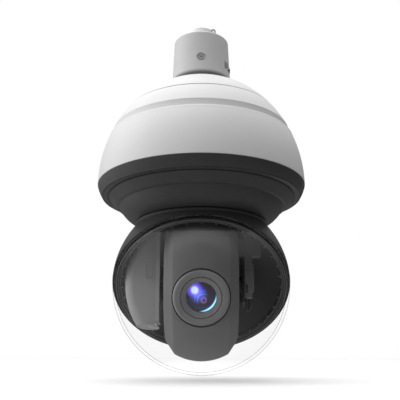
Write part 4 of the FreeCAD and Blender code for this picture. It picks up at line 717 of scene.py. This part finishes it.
def make_world():
    """A white studio, brightest above and to the left; seen directly it is plain white."""
    world = bpy.data.worlds.new("studio")
    world.use_nodes = True
    tree = world.node_tree
    background = tree.nodes["Background"]
    background.inputs["Color"].default_value = (1, 1, 1, 1)
    coords = tree.nodes.new("ShaderNodeTexCoord")
    split = tree.nodes.new("ShaderNodeSeparateXYZ")
    tree.links.new(coords.outputs["Generated"], split.inputs["Vector"])
    total = None
    for axis, start, end, gain in STUDIO_SIDES:
        side = tree.nodes.new("ShaderNodeMapRange")
        side.interpolation_type = "SMOOTHSTEP"
        side.inputs["From Min"].default_value = start
        side.inputs["From Max"].default_value = end
        side.inputs["To Max"].default_value = gain
        tree.links.new(split.outputs[axis], side.inputs["Value"])
        added = tree.nodes.new("ShaderNodeMath")
        added.inputs[1].default_value = STUDIO_BASE
        if total is not None:
            tree.links.new(total, added.inputs[1])
        tree.links.new(side.outputs["Result"], added.inputs[0])
        total = added.outputs["Value"]
    path = tree.nodes.new("ShaderNodeLightPath")
    choice = tree.nodes.new("ShaderNodeMix")
    choice.inputs["B"].default_value = 1.0
    tree.links.new(path.outputs["Is Camera Ray"], choice.inputs["Factor"])
    tree.links.new(total, choice.inputs["A"])
    tree.links.new(choice.outputs["Result"], background.inputs["Strength"])
    bpy.context.scene.world = world


# soft square lights: place and side in metres, power in watts
LIGHTS = {"key_upper_left": ((-1.3, -0.1, 0.5), 0.8, 6), "top": ((0.0, -0.2, 1.2), 1.0, 13)}
LIGHTS_AIM = (0, 0, -0.18)


def make_lights():
    """Soft lights from the upper left and from above, kept out of the clear dome's gloss."""
    for name, (place, side, power) in LIGHTS.items():
        light = bpy.data.lights.new(name, "AREA")
        light.shape = "RECTANGLE"
        light.size = light.size_y = side
        light.energy = power
        holder = bpy.data.objects.new(name, light)
        bpy.context.scene.collection.objects.link(holder)
        holder.location = place
        holder.rotation_euler = (Vector(LIGHTS_AIM) - Vector(place)).to_track_quat("-Z", "Y").to_euler()
        holder.visible_glossy = False


FLOOR_HALF, FLOOR_HEIGHT, FLOOR_LEAN = 1.6, -0.3945, 4.5        # metres, metres, degrees
FLOOR_GLOW = 0.44        # just enough for the lit board to come out white


def make_floor():
    """A pale board under the camera, leaned a little so that the low view sees its top."""
    shader = Shader("pale_floor")
    tone = shader.ramp(shader.noise(6, 3), [(0.3, (0.55, 0.55, 0.55)), (0.7, (0.57, 0.57, 0.57))])
    shader.join(tone, shader.surface.inputs["Base Color"])
    shader.set(Roughness=0.9, Emission_Color=(1, 1, 1, 1), Emission_Strength=FLOOR_GLOW)
    mesh = bpy.data.meshes.new("floor")
    build = bmesh.new()
    place = Matrix.Translation((0, 0, FLOOR_HEIGHT)) @ Matrix.Rotation(math.radians(FLOOR_LEAN), 4, "X")
    bmesh.ops.create_grid(build, x_segments=8, y_segments=8, size=FLOOR_HALF, matrix=place)
    build.to_mesh(mesh)
    build.free()
    mesh.materials.append(shader.material)
    floor = bpy.data.objects.new("floor", mesh)
    bpy.context.scene.collection.objects.link(floor)
    floor.visible_diffuse = False
    floor.visible_glossy = False
    floor.visible_shadow = False


dress_nodes()
make_covers()
make_dark_housing()
make_clear_dome()
make_window_ring()
make_lens()
make_camera()
make_world()
make_lights()
make_floor()
